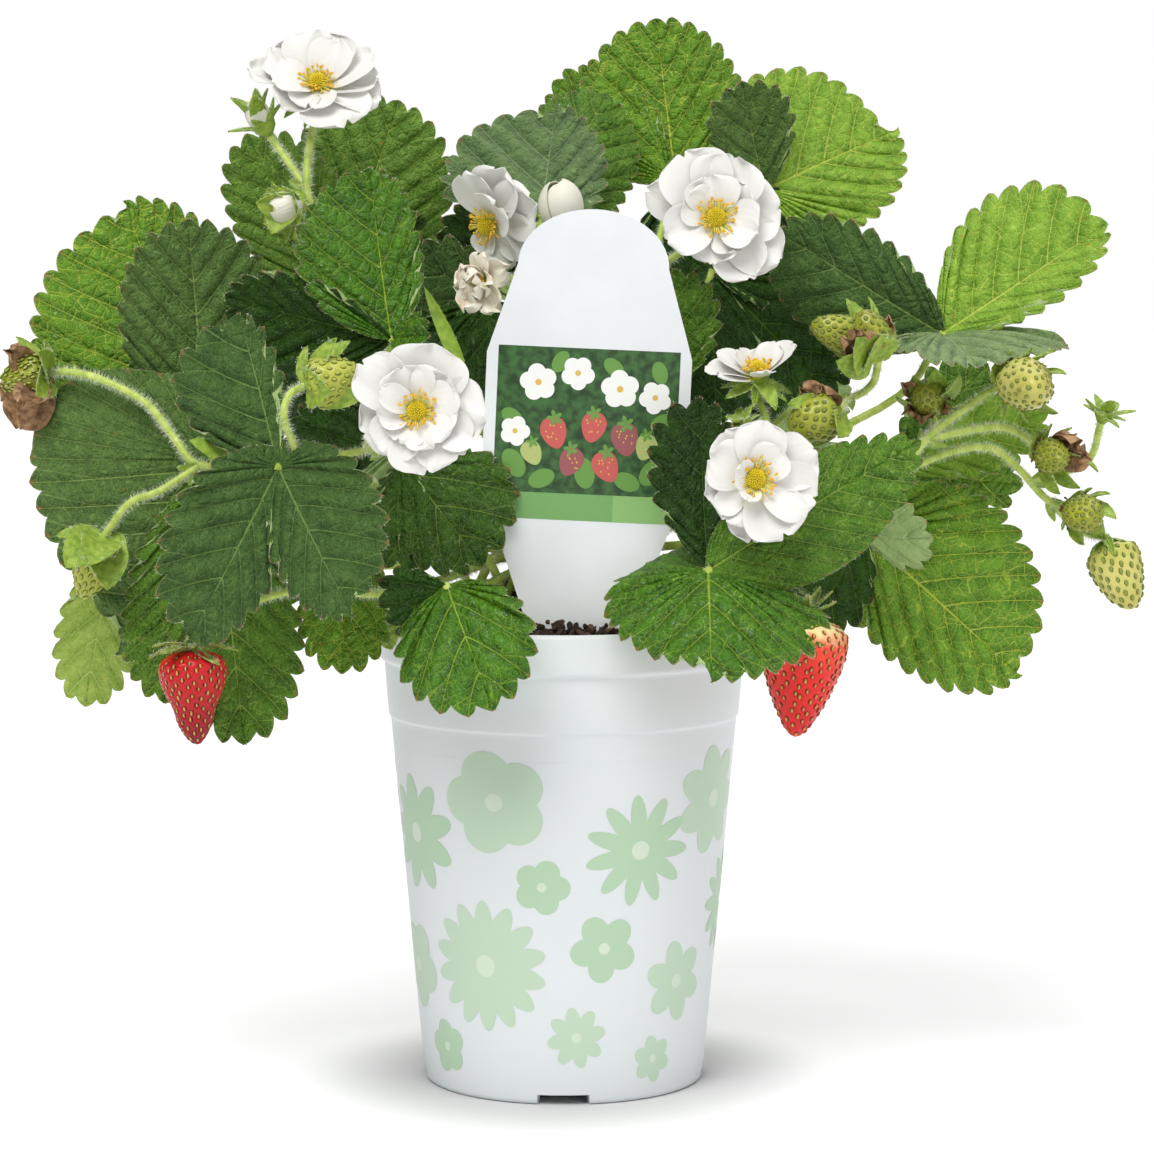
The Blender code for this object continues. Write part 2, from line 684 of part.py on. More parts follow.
def lathe(profile, sides, place=None):
    """A solid turned about +Z from (radius, height) points, closed on the axis or round on itself."""
    shape = bmesh.new()
    rings = []
    for radius, height in profile:
        if radius == 0:
            rings.append([shape.verts.new((0, 0, height))])
            continue
        turns = [math.tau * corner / sides for corner in range(sides)]
        rings.append([shape.verts.new((radius * math.cos(a), radius * math.sin(a), height)) for a in turns])
    if len(rings[0]) > 1:
        rings.append(rings[0])
    for low, high in zip(rings, rings[1:]):
        for corner in range(sides):
            after = (corner + 1) % sides
            if len(low) == 1:
                shape.faces.new((low[0], high[after], high[corner]))
            elif len(high) == 1:
                shape.faces.new((low[corner], low[after], high[0]))
            else:
                shape.faces.new((low[corner], low[after], high[after], high[corner]))
    if place:
        bmesh.ops.transform(shape, matrix=place, verts=shape.verts)
    return shape


def aimed(origin, direction):
    """Places +Z along this direction, with its start at the origin given."""
    return Matrix.Translation(origin) @ direction.to_track_quat("Z", "Y").to_matrix().to_4x4()


# -------------------------------------------------------------------------------- pot, soil, tag
def wall_radius(height):
    """The pot's outer radius below its fill line."""
    line = POT_HEIGHT - STEP_DOWN
    return FOOT_RADIUS + (STEP_RADIUS - STEP_WIDTH - FOOT_RADIUS) * height / line


def upper_radius(height):
    """The pot's outer radius between its fill line and its rim band."""
    low = POT_HEIGHT - STEP_DOWN
    high = POT_HEIGHT - RIM_BAND
    return STEP_RADIUS + (UNDER_RIM_RADIUS - STEP_RADIUS) * (height - low) / (high - low)


def pot(finish):
    """The nursery pot, with notches in its foot ring and holes in its raised floor."""
    line = POT_HEIGHT - STEP_DOWN
    band = POT_HEIGHT - RIM_BAND
    inner_foot = wall_radius(FLOOR_TOP) - WALL
    profile = [
        (0.0, FLOOR_LIFT),
        (FOOT_RADIUS - FOOT_RING, FLOOR_LIFT),
        (FOOT_RADIUS - FOOT_RING, 0.0),
        (FOOT_RADIUS - EDGE_ROUND, 0.0),
        (FOOT_RADIUS, EDGE_ROUND),
        (wall_radius(line), line),
        (STEP_RADIUS, line + STEP_WIDTH),
        (upper_radius(band), band),
        (RIM_RADIUS - STEP_WIDTH, band + STEP_WIDTH),
        (RIM_RADIUS, POT_HEIGHT - EDGE_ROUND),
        (RIM_RADIUS - EDGE_ROUND, POT_HEIGHT),
        (RIM_RADIUS - STEP_WIDTH - WALL, POT_HEIGHT),
        (upper_radius(band) - WALL, band),
        (inner_foot, FLOOR_TOP),
        (0.0, FLOOR_TOP),
    ]
    made = mesh_object("pot", lathe(profile, POT_SIDES), finish)
    cuts = []
    for notch in range(NOTCHES):
        turn = math.tau * notch / NOTCHES
        cut = bmesh.new()
        bmesh.ops.create_cube(cut, size=1.0)
        size = Matrix.Diagonal((NOTCH_DEPTH, NOTCH_WIDTH, NOTCH_HEIGHT * 2, 1.0))
        place = Matrix.Rotation(turn, 4, "Z") @ Matrix.Translation((FOOT_RADIUS, 0, 0))
        bmesh.ops.transform(cut, matrix=place @ size, verts=cut.verts)
        cuts.append(cut)
        middle = Matrix.Rotation(turn + math.tau / 8, 4, "Z") @ Vector((DRAIN_CIRCLE, 0, FLOOR_LIFT))
        hole = bmesh.new()
        bmesh.ops.create_cone(hole, cap_ends=True, segments=DRAIN_SIDES, radius1=DRAIN_RADIUS,
                              radius2=DRAIN_RADIUS, depth=2 * FLOOR_TOP, matrix=Matrix.Translation(middle))
        cuts.append(hole)
    combine(made, cuts, "DIFFERENCE", finish)


def soil_height(radius):
    """The heaped soil's height at this distance from the pot's axis."""
    return SOIL_EDGE + SOIL_HEAP * (1 - (radius / RIM_RADIUS) ** 2)


def soil(finish):
    """The soil, with a pocket for the crown and a slot for the tag's stake."""
    band = POT_HEIGHT - RIM_BAND
    pocket = CROWN_RADIUS + GAP
    profile = [
        (0.0, FLOOR_TOP + GAP),
        (wall_radius(FLOOR_TOP) - WALL - SOIL_GAP, FLOOR_TOP + GAP),
        (upper_radius(band) - WALL - SOIL_GAP, band),
        (upper_radius(SOIL_EDGE) - WALL - SOIL_GAP, SOIL_EDGE),
        *[(radius, soil_height(radius)) for radius in SOIL_HEAP_RINGS],
        (pocket, soil_height(pocket)),
        (pocket, CROWN_BOTTOM - GAP),
        (0.0, CROWN_BOTTOM - GAP),
    ]
    made = mesh_object("soil", lathe(profile, SOIL_SIDES), finish)
    combine(made, [tag_shape(2 * GAP, below_only=True)], "DIFFERENCE", finish)


def crown(finish):
    """The short stem that the leaves and stalks grow from."""
    profile = [
        (0.0, CROWN_BOTTOM),
        (CROWN_RADIUS * CROWN_FOOT_SHARE, CROWN_BOTTOM),
        (CROWN_RADIUS, CROWN_BOTTOM + CROWN_ROUND),
        (CROWN_RADIUS, STEM_RING_LOW),
        (CROWN_TIP_RADIUS, CROWN_TOP - EDGE_ROUND),
        (0.0, CROWN_TOP),
    ]
    mesh_object("crown", lathe(profile, CROWN_SIDES), finish)


def tag_outline():
    """Half the tag's outline, from the stake's point up its right side: (half width, height)."""
    side = [
        (TAG_POINT_WIDTH / 2, -TAG_BURIED),
        (TAG_STAKE_WIDTH / 2, 0.0),
        (TAG_WIDTH / 2 - TAG_CHAMFER, TAG_SHOULDER - TAG_CHAMFER),
        (TAG_WIDTH / 2, TAG_SHOULDER),
        (TAG_WIDTH / 2, TAG_CORNER),
    ]
    for step in range(TAG_ARCH_STEPS):
        turn = math.pi / 2 * step / TAG_ARCH_STEPS
        side.append((TAG_ARCH_WIDTH / 2 * math.cos(turn), TAG_TOP - TAG_ARCH_RISE * (1 - math.sin(turn))))
    side.append((0.0, TAG_TOP))
    return side


def tag_shape(margin=0.0, below_only=False):
    """The tag's solid in its place, or with a margin the slot that its stake needs."""
    half = tag_outline()
    if below_only:
        half = [(width + margin, height - margin) for width, height in half[:3]]
    ring = half + [(-x, z) for x, z in reversed(half) if x > 0]
    shape = bmesh.new()
    thick = TAG_THICK / 2 + margin
    back = [shape.verts.new((x, thick, z)) for x, z in ring]
    front = [shape.verts.new((x, -thick, z)) for x, z in ring]
    shape.faces.new(front)
    shape.faces.new(list(reversed(back)))
    for index in range(len(ring)):
        after = (index + 1) % len(ring)
        shape.faces.new((front[after], front[index], back[index], back[after]))
    place = Matrix.Translation(seen(TAG_FOOT)) @ Matrix.Rotation(TAG_TURN, 4, "Y")
    bmesh.ops.transform(shape, matrix=place @ Matrix.Rotation(-TAG_LEAN, 4, "X"), verts=shape.verts)
    return shape


# ------------------------------------------------------------------------- leaves and what grows
def leaf(name, plan, start, finish):
    """A petiole with its three leaflets, joined at the hub."""
    hub = seen(plan["hub"])
    route = smooth(start + [seen(place) for place in plan["past"]] + [hub])
    route[-1] = hub + (hub - route[-2]).normalized() * HUB_REACH
    made = mesh_object(name, tube(route, PETIOLE_RADIUS), finish)
    blades = []
    for number, leaf in enumerate(plan["leaflets"]):
        outward = (seen(leaf["tip"]) - hub).normalized()
        blades.append(blade(hub + outward * HUB_STAGGER * number, leaf))
    combine(made, blades, "UNION", finish)


def carried_end(name):
    """Where the stem under a flower, fruit or bud ends."""
    if name in FLOWERS:
        plan = FLOWERS[name]
        faces = Vector(plan["faces"]).normalized()
        return seen(plan["centre"]) - faces * (plan["cup"] * MM + STEM_END_GAP)
    plan = FRUITS.get(name) or BUDS[name]
    top = seen(plan["top"])
    return top - (seen(plan["tip"]) - top).normalized() * STEM_END_GAP


def stalk(name, plan, start, finish):
    """A flower stalk with its branches."""
    places = [seen(place) for place in plan["stem"] + plan["last"]]
    route = smooth(start + places + [carried_end(plan["carries"])])
    made = mesh_object(name, tube(route, STALK_RADIUS, end_radius=PEDICEL_RADIUS), finish)
    shapes = []
    for branch in plan["branches"]:
        fork = seen(branch["from"])
        route = smooth([fork] + [seen(place) for place in branch["past"]] + [carried_end(branch["carries"])])
        shapes.append(tube(route, PEDICEL_RADIUS))
    combine(made, shapes, "UNION", finish)


def flower(name, plan, finish):
    """A cupped disc with a raised middle, for the petals and the heads of the stamens."""
    radius = plan["radius"] * MM
    cup = plan["cup"] * MM
    profile = [(radius * wide, cup * high + PETAL_THICK * over) for wide, high, over in FLOWER_RINGS]
    place = aimed(seen(plan["centre"]), Vector(plan["faces"]).normalized())
    mesh_object(name, lathe(profile, FLOWER_SIDES, place), finish)


def fruit(name, plan, finish):
    """A tapered berry under its calyx, along +Z from where its stalk ends."""
    top = seen(plan["top"])
    along = seen(plan["tip"]) - top
    length = along.length
    radius = plan["radius"] * MM
    calyx = plan["calyx"] * MM
    profile = [(0.0, 0.0), (calyx, CALYX_RISE), (radius * FRUIT_NECK, CALYX_RISE + CALYX_THICK)]
    profile += [(radius * wide, length * share) for wide, share in FRUIT_RINGS]
    mesh_object(name, lathe(profile, FRUIT_SIDES, aimed(top, along)), finish)


def bud(name, plan, finish):
    """A pointed bud, along +Z from where its stalk ends."""
    top = seen(plan["top"])
    along = seen(plan["tip"]) - top
    length = along.length
    radius = plan["radius"] * MM
    profile = [(radius * wide, length * share) for wide, share in BUD_RINGS]
    mesh_object(name, lathe(profile, BUD_SIDES, aimed(top, along)), finish)


def main():
    for old in list(bpy.data.objects):
        bpy.data.objects.remove(old)
    pot_white = material("pot white", (0.80, 0.82, 0.84), 0.38)
    tag_white = material("tag white", (0.84, 0.84, 0.83), 0.42)
    potting_soil = material("potting soil", (0.045, 0.026, 0.016), 0.95)
    crown_brown = material("crown brown", (0.22, 0.13, 0.05), 0.8)
    leaf_green = material("leaf green", (0.05, 0.17, 0.03), 0.5)
    stem_green = material("stem green", (0.33, 0.45, 0.06), 0.55)
    petal_white = material("petal white", (0.88, 0.87, 0.84), 0.6)
    bud_green = material("bud green", (0.25, 0.36, 0.08), 0.6)
    ripe_red = material("ripe red", (0.56, 0.035, 0.03), 0.35)
    unripe_green = material("unripe green", (0.40, 0.48, 0.14), 0.5)
    dried_brown = material("dried brown", (0.33, 0.16, 0.05), 0.85)
    finish_of = {"fruit_red_left": ripe_red, "fruit_red_right": ripe_red, "fruit_dried": dried_brown}

    pot(pot_white)
    soil(potting_soil)
    crown(crown_brown)
    mesh_object("tag", tag_shape(), tag_white)
    starts = stem_starts()
    for name, plan in LEAVES.items():
        leaf(name, plan, starts[name], leaf_green)
    for name, plan in STALKS.items():
        stalk(name, plan, starts[name], stem_green)
    for name, plan in FLOWERS.items():
        flower(name, plan, petal_white)
    for name, plan in FRUITS.items():
        fruit(name, plan, finish_of.get(name, unripe_green))
    for name, plan in BUDS.items():
        bud(name, plan, bud_green)


main()
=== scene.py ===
"""The looks of a strawberry plant in its nursery pot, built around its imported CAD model.

Metres, +Z up, the same frame as the CAD. Each CAD solid has one detailed piece that stands for it.
"""

import math
from collections import namedtuple

import bmesh
import bpy
import numpy as np
from mathutils import Matrix, Vector

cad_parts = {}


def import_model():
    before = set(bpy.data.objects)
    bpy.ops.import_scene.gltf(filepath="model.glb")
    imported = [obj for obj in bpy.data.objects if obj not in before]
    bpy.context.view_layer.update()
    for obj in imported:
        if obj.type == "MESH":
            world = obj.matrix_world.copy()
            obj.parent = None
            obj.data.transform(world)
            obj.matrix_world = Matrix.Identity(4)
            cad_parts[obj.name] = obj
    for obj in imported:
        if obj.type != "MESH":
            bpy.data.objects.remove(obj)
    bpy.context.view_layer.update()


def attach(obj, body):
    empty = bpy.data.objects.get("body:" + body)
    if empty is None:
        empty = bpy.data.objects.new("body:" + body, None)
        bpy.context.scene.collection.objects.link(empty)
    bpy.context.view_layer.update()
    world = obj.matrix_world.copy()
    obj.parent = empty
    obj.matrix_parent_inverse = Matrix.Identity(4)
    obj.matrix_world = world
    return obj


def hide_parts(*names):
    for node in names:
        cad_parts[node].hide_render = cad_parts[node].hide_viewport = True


MM = 0.001
GOLDEN_TURN = math.pi * (1 + 5 ** 0.5)

# The photograph's view: places given as (across, down, depth) are a pixel of its 1154 x 1154
# frame, and the distance in millimetres behind the pot's middle.
EYE = np.array((3.9, -1100.0, 250.0)) * MM
EYE_TILT = math.radians(5.3)
EYE_FOCAL = 3770.0
FRAME_SIDE = 1154.0
SENSOR = 36.0
STUDIO = 8.0

# Pot
POT_HEIGHT = 136.5 * MM
RIM_RADIUS = 54.0 * MM
RIM_BAND = 12.0 * MM
UNDER_RIM_RADIUS = 52.6 * MM
STEP_DOWN = 28.5 * MM
STEP_RADIUS = 51.4 * MM
STEP_WIDTH = 0.6 * MM
FOOT_RADIUS = 41.0 * MM
FOOT_RING = 4.5 * MM
FLOOR_LIFT = 3.5 * MM
POT_WALL = 1.3 * MM
POT_TURNS = 176
NOTCH_WIDTH = 15.0 * MM
NOTCH_HEIGHT = 3.0 * MM
NOTCHES = 4
DRAINS = 4
DRAIN_RADIUS = 4.0 * MM
DRAIN_CIRCLE = 24.0 * MM
PRINT_LIFT = 0.06 * MM
PRINT_STEP = 0.002 * MM
PRINT_HEART_LIFT = 0.03 * MM
PRINT_RADIUS = 46.0 * MM

# Soil and crown
SOIL_EDGE = 131.0 * MM
SOIL_HEAP = 17.0 * MM
SOIL_RADIUS = 49.8 * MM
CROWN_RADIUS = 10.0 * MM
CROWN_TIP_RADIUS = 6.5 * MM
CROWN_BOTTOM = 138.0 * MM
CROWN_TOP = 162.0 * MM
CROWN_SCALES = 30

# Stems leave the crown in stacked rings
STEM_RINGS = 4
STEM_RING_LOW = 150.3 * MM
STEM_RING_RISE = 3.4 * MM
STEM_RING_NARROWS = 0.9 * MM
STEM_LEAN_LOW = math.radians(25)
STEM_LEAN_RISE = math.radians(10)
STEM_FIRST_REACH = 13.0 * MM
STEM_START_GAP = 2.0 * MM
STEM_FAN = 0.2
STEM_END_GAP = 1.2 * MM
STEM_STEPS = 7
STEM_SIDES = 9
PETIOLE_RADIUS = 1.3 * MM
STALK_RADIUS = 1.35 * MM
PEDICEL_RADIUS = 1.05 * MM
SHEATH_WIDER = 1.9
SHEATH_REACH = 7.0 * MM

# Tag
TAG_FOOT = (577.0, 632.0, -41.0)
TAG_TURN = math.radians(2.6)
TAG_LEAN = math.radians(1.0)
TAG_WIDTH = 57.7 * MM
TAG_ARCH_WIDTH = 42.4 * MM
TAG_ARCH_RISE = 16.0 * MM
TAG_TOP = 119.0 * MM
TAG_CORNER = 78.0 * MM
TAG_SHOULDER = 34.0 * MM
TAG_CHAMFER = 4.0 * MM
TAG_STAKE_WIDTH = 27.5 * MM
TAG_POINT_WIDTH = 9.0 * MM
TAG_BURIED = 36.0 * MM
TAG_THICK = 0.6 * MM
TAG_BOW = 1.2 * MM
INK_LIFT = 0.04 * MM

# Leaflets
LEAF_THICK = 0.3 * MM
VEIN_RISE = 1.25
TOOTH_WIDE = 6.2 * MM
TOOTH_DEEP = 0.50
TOOTH_LEAN = 0.5
TOOTH_SHARP = 1.75
TOOTH_ROUND = {"bright": 2.3, "backlit": 2.3, "speckled": 2.2, "fuzzy": 2.2, "pale": 2.2}
TOOTH_STEPS = (0.0, 0.12, 0.25, 0.36, 0.45, 0.5, 0.55, 0.64, 0.75, 0.88)
TOOTHED_SHARE = 0.72
BLADE_COLUMNS = np.array((0.0, 0.04, 0.12, 0.23, 0.35, 0.47, 0.59, 0.7, 0.8, 0.9, 1.0))
PLEAT = 0.95 * MM
FULL_PLEAT_WIDTH = 17.0 * MM
MIDRIB_DEPTH = 0.8 * MM

SEPAL_THICK = 0.3 * MM
SEPAL_RIDGE = 0.25 * MM
BRACT_THICK = 0.25 * MM
PETAL_THICK = 0.22 * MM
FOLDED_PETAL_THICK = 0.2 * MM
HAIR_WIDTH = 0.1 * MM


def seen(place):
    """The point at pixel (across, down) of the photograph, depth millimetres behind the pot's middle."""
    across, down, depth = place
    right = (across - FRAME_SIDE / 2) / EYE_FOCAL
    up = (FRAME_SIDE / 2 - down) / EYE_FOCAL
    forward = math.cos(EYE_TILT) + up * math.sin(EYE_TILT)
    rise = up * math.cos(EYE_TILT) - math.sin(EYE_TILT)
    return EYE + np.array((right, forward, rise)) * (depth * MM - EYE[1]) / forward


# ------------------------------------------------------------------------------ the plant's plan
# Each leaflet: its tip, the widths in millimetres of its left and right half seen from its base,
# roll about its midrib away from facing the viewer, bend along the midrib and fold across it in
# degrees (positive lifts towards the face), its look, how wedge-shaped its base is, how many
# millimetres each half is swept back towards the base, how far its margins curve up (or down,
# below 0), its ripples in millimetres, its twist in degrees from base to tip, the share of its
# margin without teeth, how pointed its end is, and the degrees by which each half is flattened.
Leaflet = namedtuple(
    "Leaflet", "tip left right roll bend fold look wedge sweep cup wave twist bare point opened",
    defaults=(0.8, (0, 0), -0.15, 1.0, 0, 0.28, 0.48, (0, 0)),
)

# Each leaf: the places its petiole passes, of which the last is its hub, and its leaflets.
LEAVES = {
    "leaf_front_left": ([(400, 520, -34), (278, 467, -62)], (
        Leaflet((240, 318, -56), 24, 5.5, -20, 10, 10, "grey", cup=-0.1, opened=(0, 34)),
        Leaflet((188, 640, -80), 13, 21, -10, -25, 10, "grey", wedge=0.55, sweep=(0, 5), cup=-0.06,
                opened=(16, 0)),
        Leaflet((352, 614, -82), 22, 13, 10, -25, 10, "grey", wedge=0.6, sweep=(7, 0), cup=-0.1,
                opened=(0, 16)),
    )),
    "leaf_left_high": ([(400, 505, 4), (205, 430, -12)], (
        Leaflet((126, 204, 8), 40, 24, 0, 10, 2, "bright", wedge=0.5, sweep=(6, 0), cup=-0.1, wave=0.6),
        Leaflet((188, 222, -22), 22, 23, -8, 10, 10, "soft", wedge=0.55, cup=-0.2, twist=-8),
        Leaflet((240, 300, 2), 19, 19, 0, -10, 10, "mid"),
    )),
    "leaf_left_low": ([(330, 520, -26), (212, 459, -34)], (
        Leaflet((118, 652, -34), 18, 51, 0, -35, -12, "soft", wedge=0.26, sweep=(0, 20), wave=0.4,
                bare=0.6),
        Leaflet((165, 700, -50), 16, 16, 0, -15, 10, "mid"),
        Leaflet((244, 740, -54), 19, 17, 0, -20, 10, "mid"),
    )),
    "leaf_far_left": ([(380, 566, 22), (112, 560, 14)], (
        Leaflet((86, 703, 10), 12, 12, 15, -15, 8, "pale", wedge=0.6),
        Leaflet((80, 480, 26), 13, 13, 10, 10, 10, "mid"),
        Leaflet((190, 620, 26), 13, 13, -10, -10, 10, "dark"),
    )),
    "leaf_low_left": ([(472, 592, -22), (452, 566, -32), (348, 552, -36)], (
        Leaflet((342, 670, -48), 13, 13, 0, -15, 12, "bright", wedge=0.6),
        Leaflet((305, 610, -42), 9, 9, 20, -10, 10, "dark"),
        Leaflet((390, 646, -40), 9, 9, -30, -10, 10, "pale"),
    )),
    "leaf_front_centre": ([(474, 590, -38), (447, 586, -62)], (
        Leaflet((492, 706, -78), 18, 20, 5, -20, 8, "glossy", wedge=0.5),
        Leaflet((390, 620, -64), 9, 13, -20, -20, 14, "dark"),
        Leaflet((412, 618, -50), 7, 7, 0, -20, 14, "dark"),
    )),
    "leaf_inner_left": ([(504, 595, -22), (487, 558, -34), (402, 462, -40)], (
        Leaflet((480, 562, -44), 22, 15, 0, -15, 10, "deep", wedge=0.6),
        Leaflet((412, 567, -44), 9, 12, -10, -20, 12, "deep"),
        Leaflet((380, 510, -42), 6, 6, -50, -10, 10, "grey"),
    )),
    "leaf_upper_left": ([(490, 440, -20), (392, 340, -38)], (
        Leaflet((370, 171, -36), 25, 12, 8, 22, 20, "glossy", wedge=0.55, wave=0.6, twist=6,
                opened=(0, 12)),
        Leaflet((228, 296, -32), 17, 13, -25, -10, 14, "dark", point=0.6),
        Leaflet((428, 336, -50), 7, 7, -20, -20, 18, "glossy"),
    )),
    "leaf_back_left": ([(335, 298, 26)], (
        Leaflet((398, 104, 34), 25, 24, 5, 15, 8, "speckled", wedge=0.6),
        Leaflet((248, 138, 26), 17, 17, -15, 12, 10, "speckled", wedge=0.6),
        Leaflet((452, 268, 44), 20, 20, 20, -10, 10, "dark"),
    )),
    "leaf_behind_tag": ([(548, 450, -16), (487, 303, 3)], (
        Leaflet((414, 256, 5), 14, 12, -25, 10, 10, "grey", wedge=0.5),
        Leaflet((438, 420, -14), 16, 16, 10, -15, 12, "dark", wedge=0.5),
        Leaflet((505, 425, -18), 15, 15, -10, -15, 12, "dark", wedge=0.45),
    )),
    "leaf_top_centre": ([(540, 222, 14)], (
        Leaflet((556, 108, 40), 30, 17, 0, 20, 8, "fuzzy", wedge=0.42, sweep=(7, 0)),
        Leaflet((606, 96, 60), 17, 20, 10, 20, 10, "mid", wedge=0.6, opened=(24, 0)),
        Leaflet((440, 250, 8), 15, 14, -30, -20, 10, "dark"),
    )),
    "leaf_top": ([(676, 182, 60)], (
        Leaflet((656, 22, 74), 28, 24, 0, 15, 8, "bright", wedge=0.36, wave=0.7),
        Leaflet((556, 84, 80), 14, 14, -10, 15, 10, "bright"),
        Leaflet((700, 290, 66), 18, 18, 0, -20, 10, "dark"),
    )),
    "leaf_top_right": ([(765, 190, 36)], (
        Leaflet((896, 130, 46), 33, 22, -10, -12, 8, "backlit", wedge=0.4, sweep=(11, 0)),
        Leaflet((742, 84, 26), 13, 13, 10, 12, 12, "soft"),
        Leaflet((812, 262, 50), 16, 16, -10, -20, 10, "dark"),
    )),
    "leaf_right_high": ([(880, 408, -6), (942, 334, -22)], (
        Leaflet((780, 232, -12), 20, 14, -10, -10, 10, "grey", wedge=0.6, cup=-0.3),
        Leaflet((1104, 226, -22), 26, 10, -10, 10, 12, "backlit", wedge=0.7, cup=-0.2, wave=0.7),
        Leaflet((976, 366, -46), 33, 17, -46, -15, 8, "dusty", wedge=0.4),
    )),
    "leaf_right_mid": ([(900, 470, 14)], (
        Leaflet((1044, 412, 12), 11, 11, -10, -10, 10, "backlit"),
        Leaflet((1018, 484, 18), 9, 9, 10, -15, 10, "bright"),
        Leaflet((985, 366, 26), 12, 12, 0, 10, 10, "mid"),
    )),
    "leaf_right_low": ([(864, 534, -14)], (
        Leaflet((1018, 674, -18), 31, 21, 0, -15, 6, "bright", wedge=0.4, sweep=(5, 0)),
        Leaflet((930, 538, -24), 11, 10, 30, -20, 10, "under"),
        Leaflet((810, 630, -24), 11, 11, 0, -20, 10, "dark"),
    )),
    "leaf_front_right": ([(708, 570, -66)], (
        Leaflet((700, 402, -52), 15, 9, 10, 15, 14, "black"),
        Leaflet((918, 442, -54), 14, 19, -8, -12, 10, "mid", wedge=0.6, cup=-0.3, bare=0.75, point=0.75),
        Leaflet((712, 684, -90), 33, 29, 0, -35, -12, "glossy", wedge=0.32, sweep=(4, 16)),
    )),
    "leaf_inner_right": ([(712, 272, 2)], (
        Leaflet((832, 396, 2), 23, 22, 0, -15, 12, "dark", wave=0.4, opened=(8, 0)),
        Leaflet((812, 268, 10), 13, 13, -20, -15, 10, "dark"),
        Leaflet((717, 424, -6), 15, 17, 10, -15, 10, "dark", wave=0.4, opened=(28, 8)),
    )),
    "leaf_beside_tag": ([(668, 392, -22)], (
        Leaflet((676, 272, -20), 14, 13, 0, 10, 10, "mid"),
        Leaflet((640, 480, -28), 12, 12, 0, -10, 10, "dark"),
        Leaflet((694, 486, -32), 12, 12, 0, -15, 10, "dark"),
    )),
    "leaf_rear_left": ([(420, 430, 62)], (
        Leaflet((278, 350, 84), 24, 24, -10, -15, -10, "black"),
        Leaflet((400, 560, 92), 20, 20, 180, 20, -10, "mid"),
        Leaflet((292, 478, 70), 20, 20, -10, 15, -10, "dark"),
    )),
    "leaf_rear_middle": ([(570, 330, 78)], (
        Leaflet((530, 200, 92), 21, 21, 180, -15, -10, "mid"),
        Leaflet((470, 420, 92), 20, 20, 170, 20, -10, "bright"),
        Leaflet((650, 400, 94), 20, 20, 190, 20, -10, "mid"),
    )),
    "leaf_rear_right": ([(660, 490, 44), (740, 430, 66)], (
        Leaflet((842, 370, 84), 15, 14, 200, -15, -10, "grey"),
        Leaflet((770, 570, 90), 20, 20, 180, 20, -10, "mid"),
        Leaflet((880, 524, 74), 14, 15, 190, 15, -10, "glossy"),
    )),
}

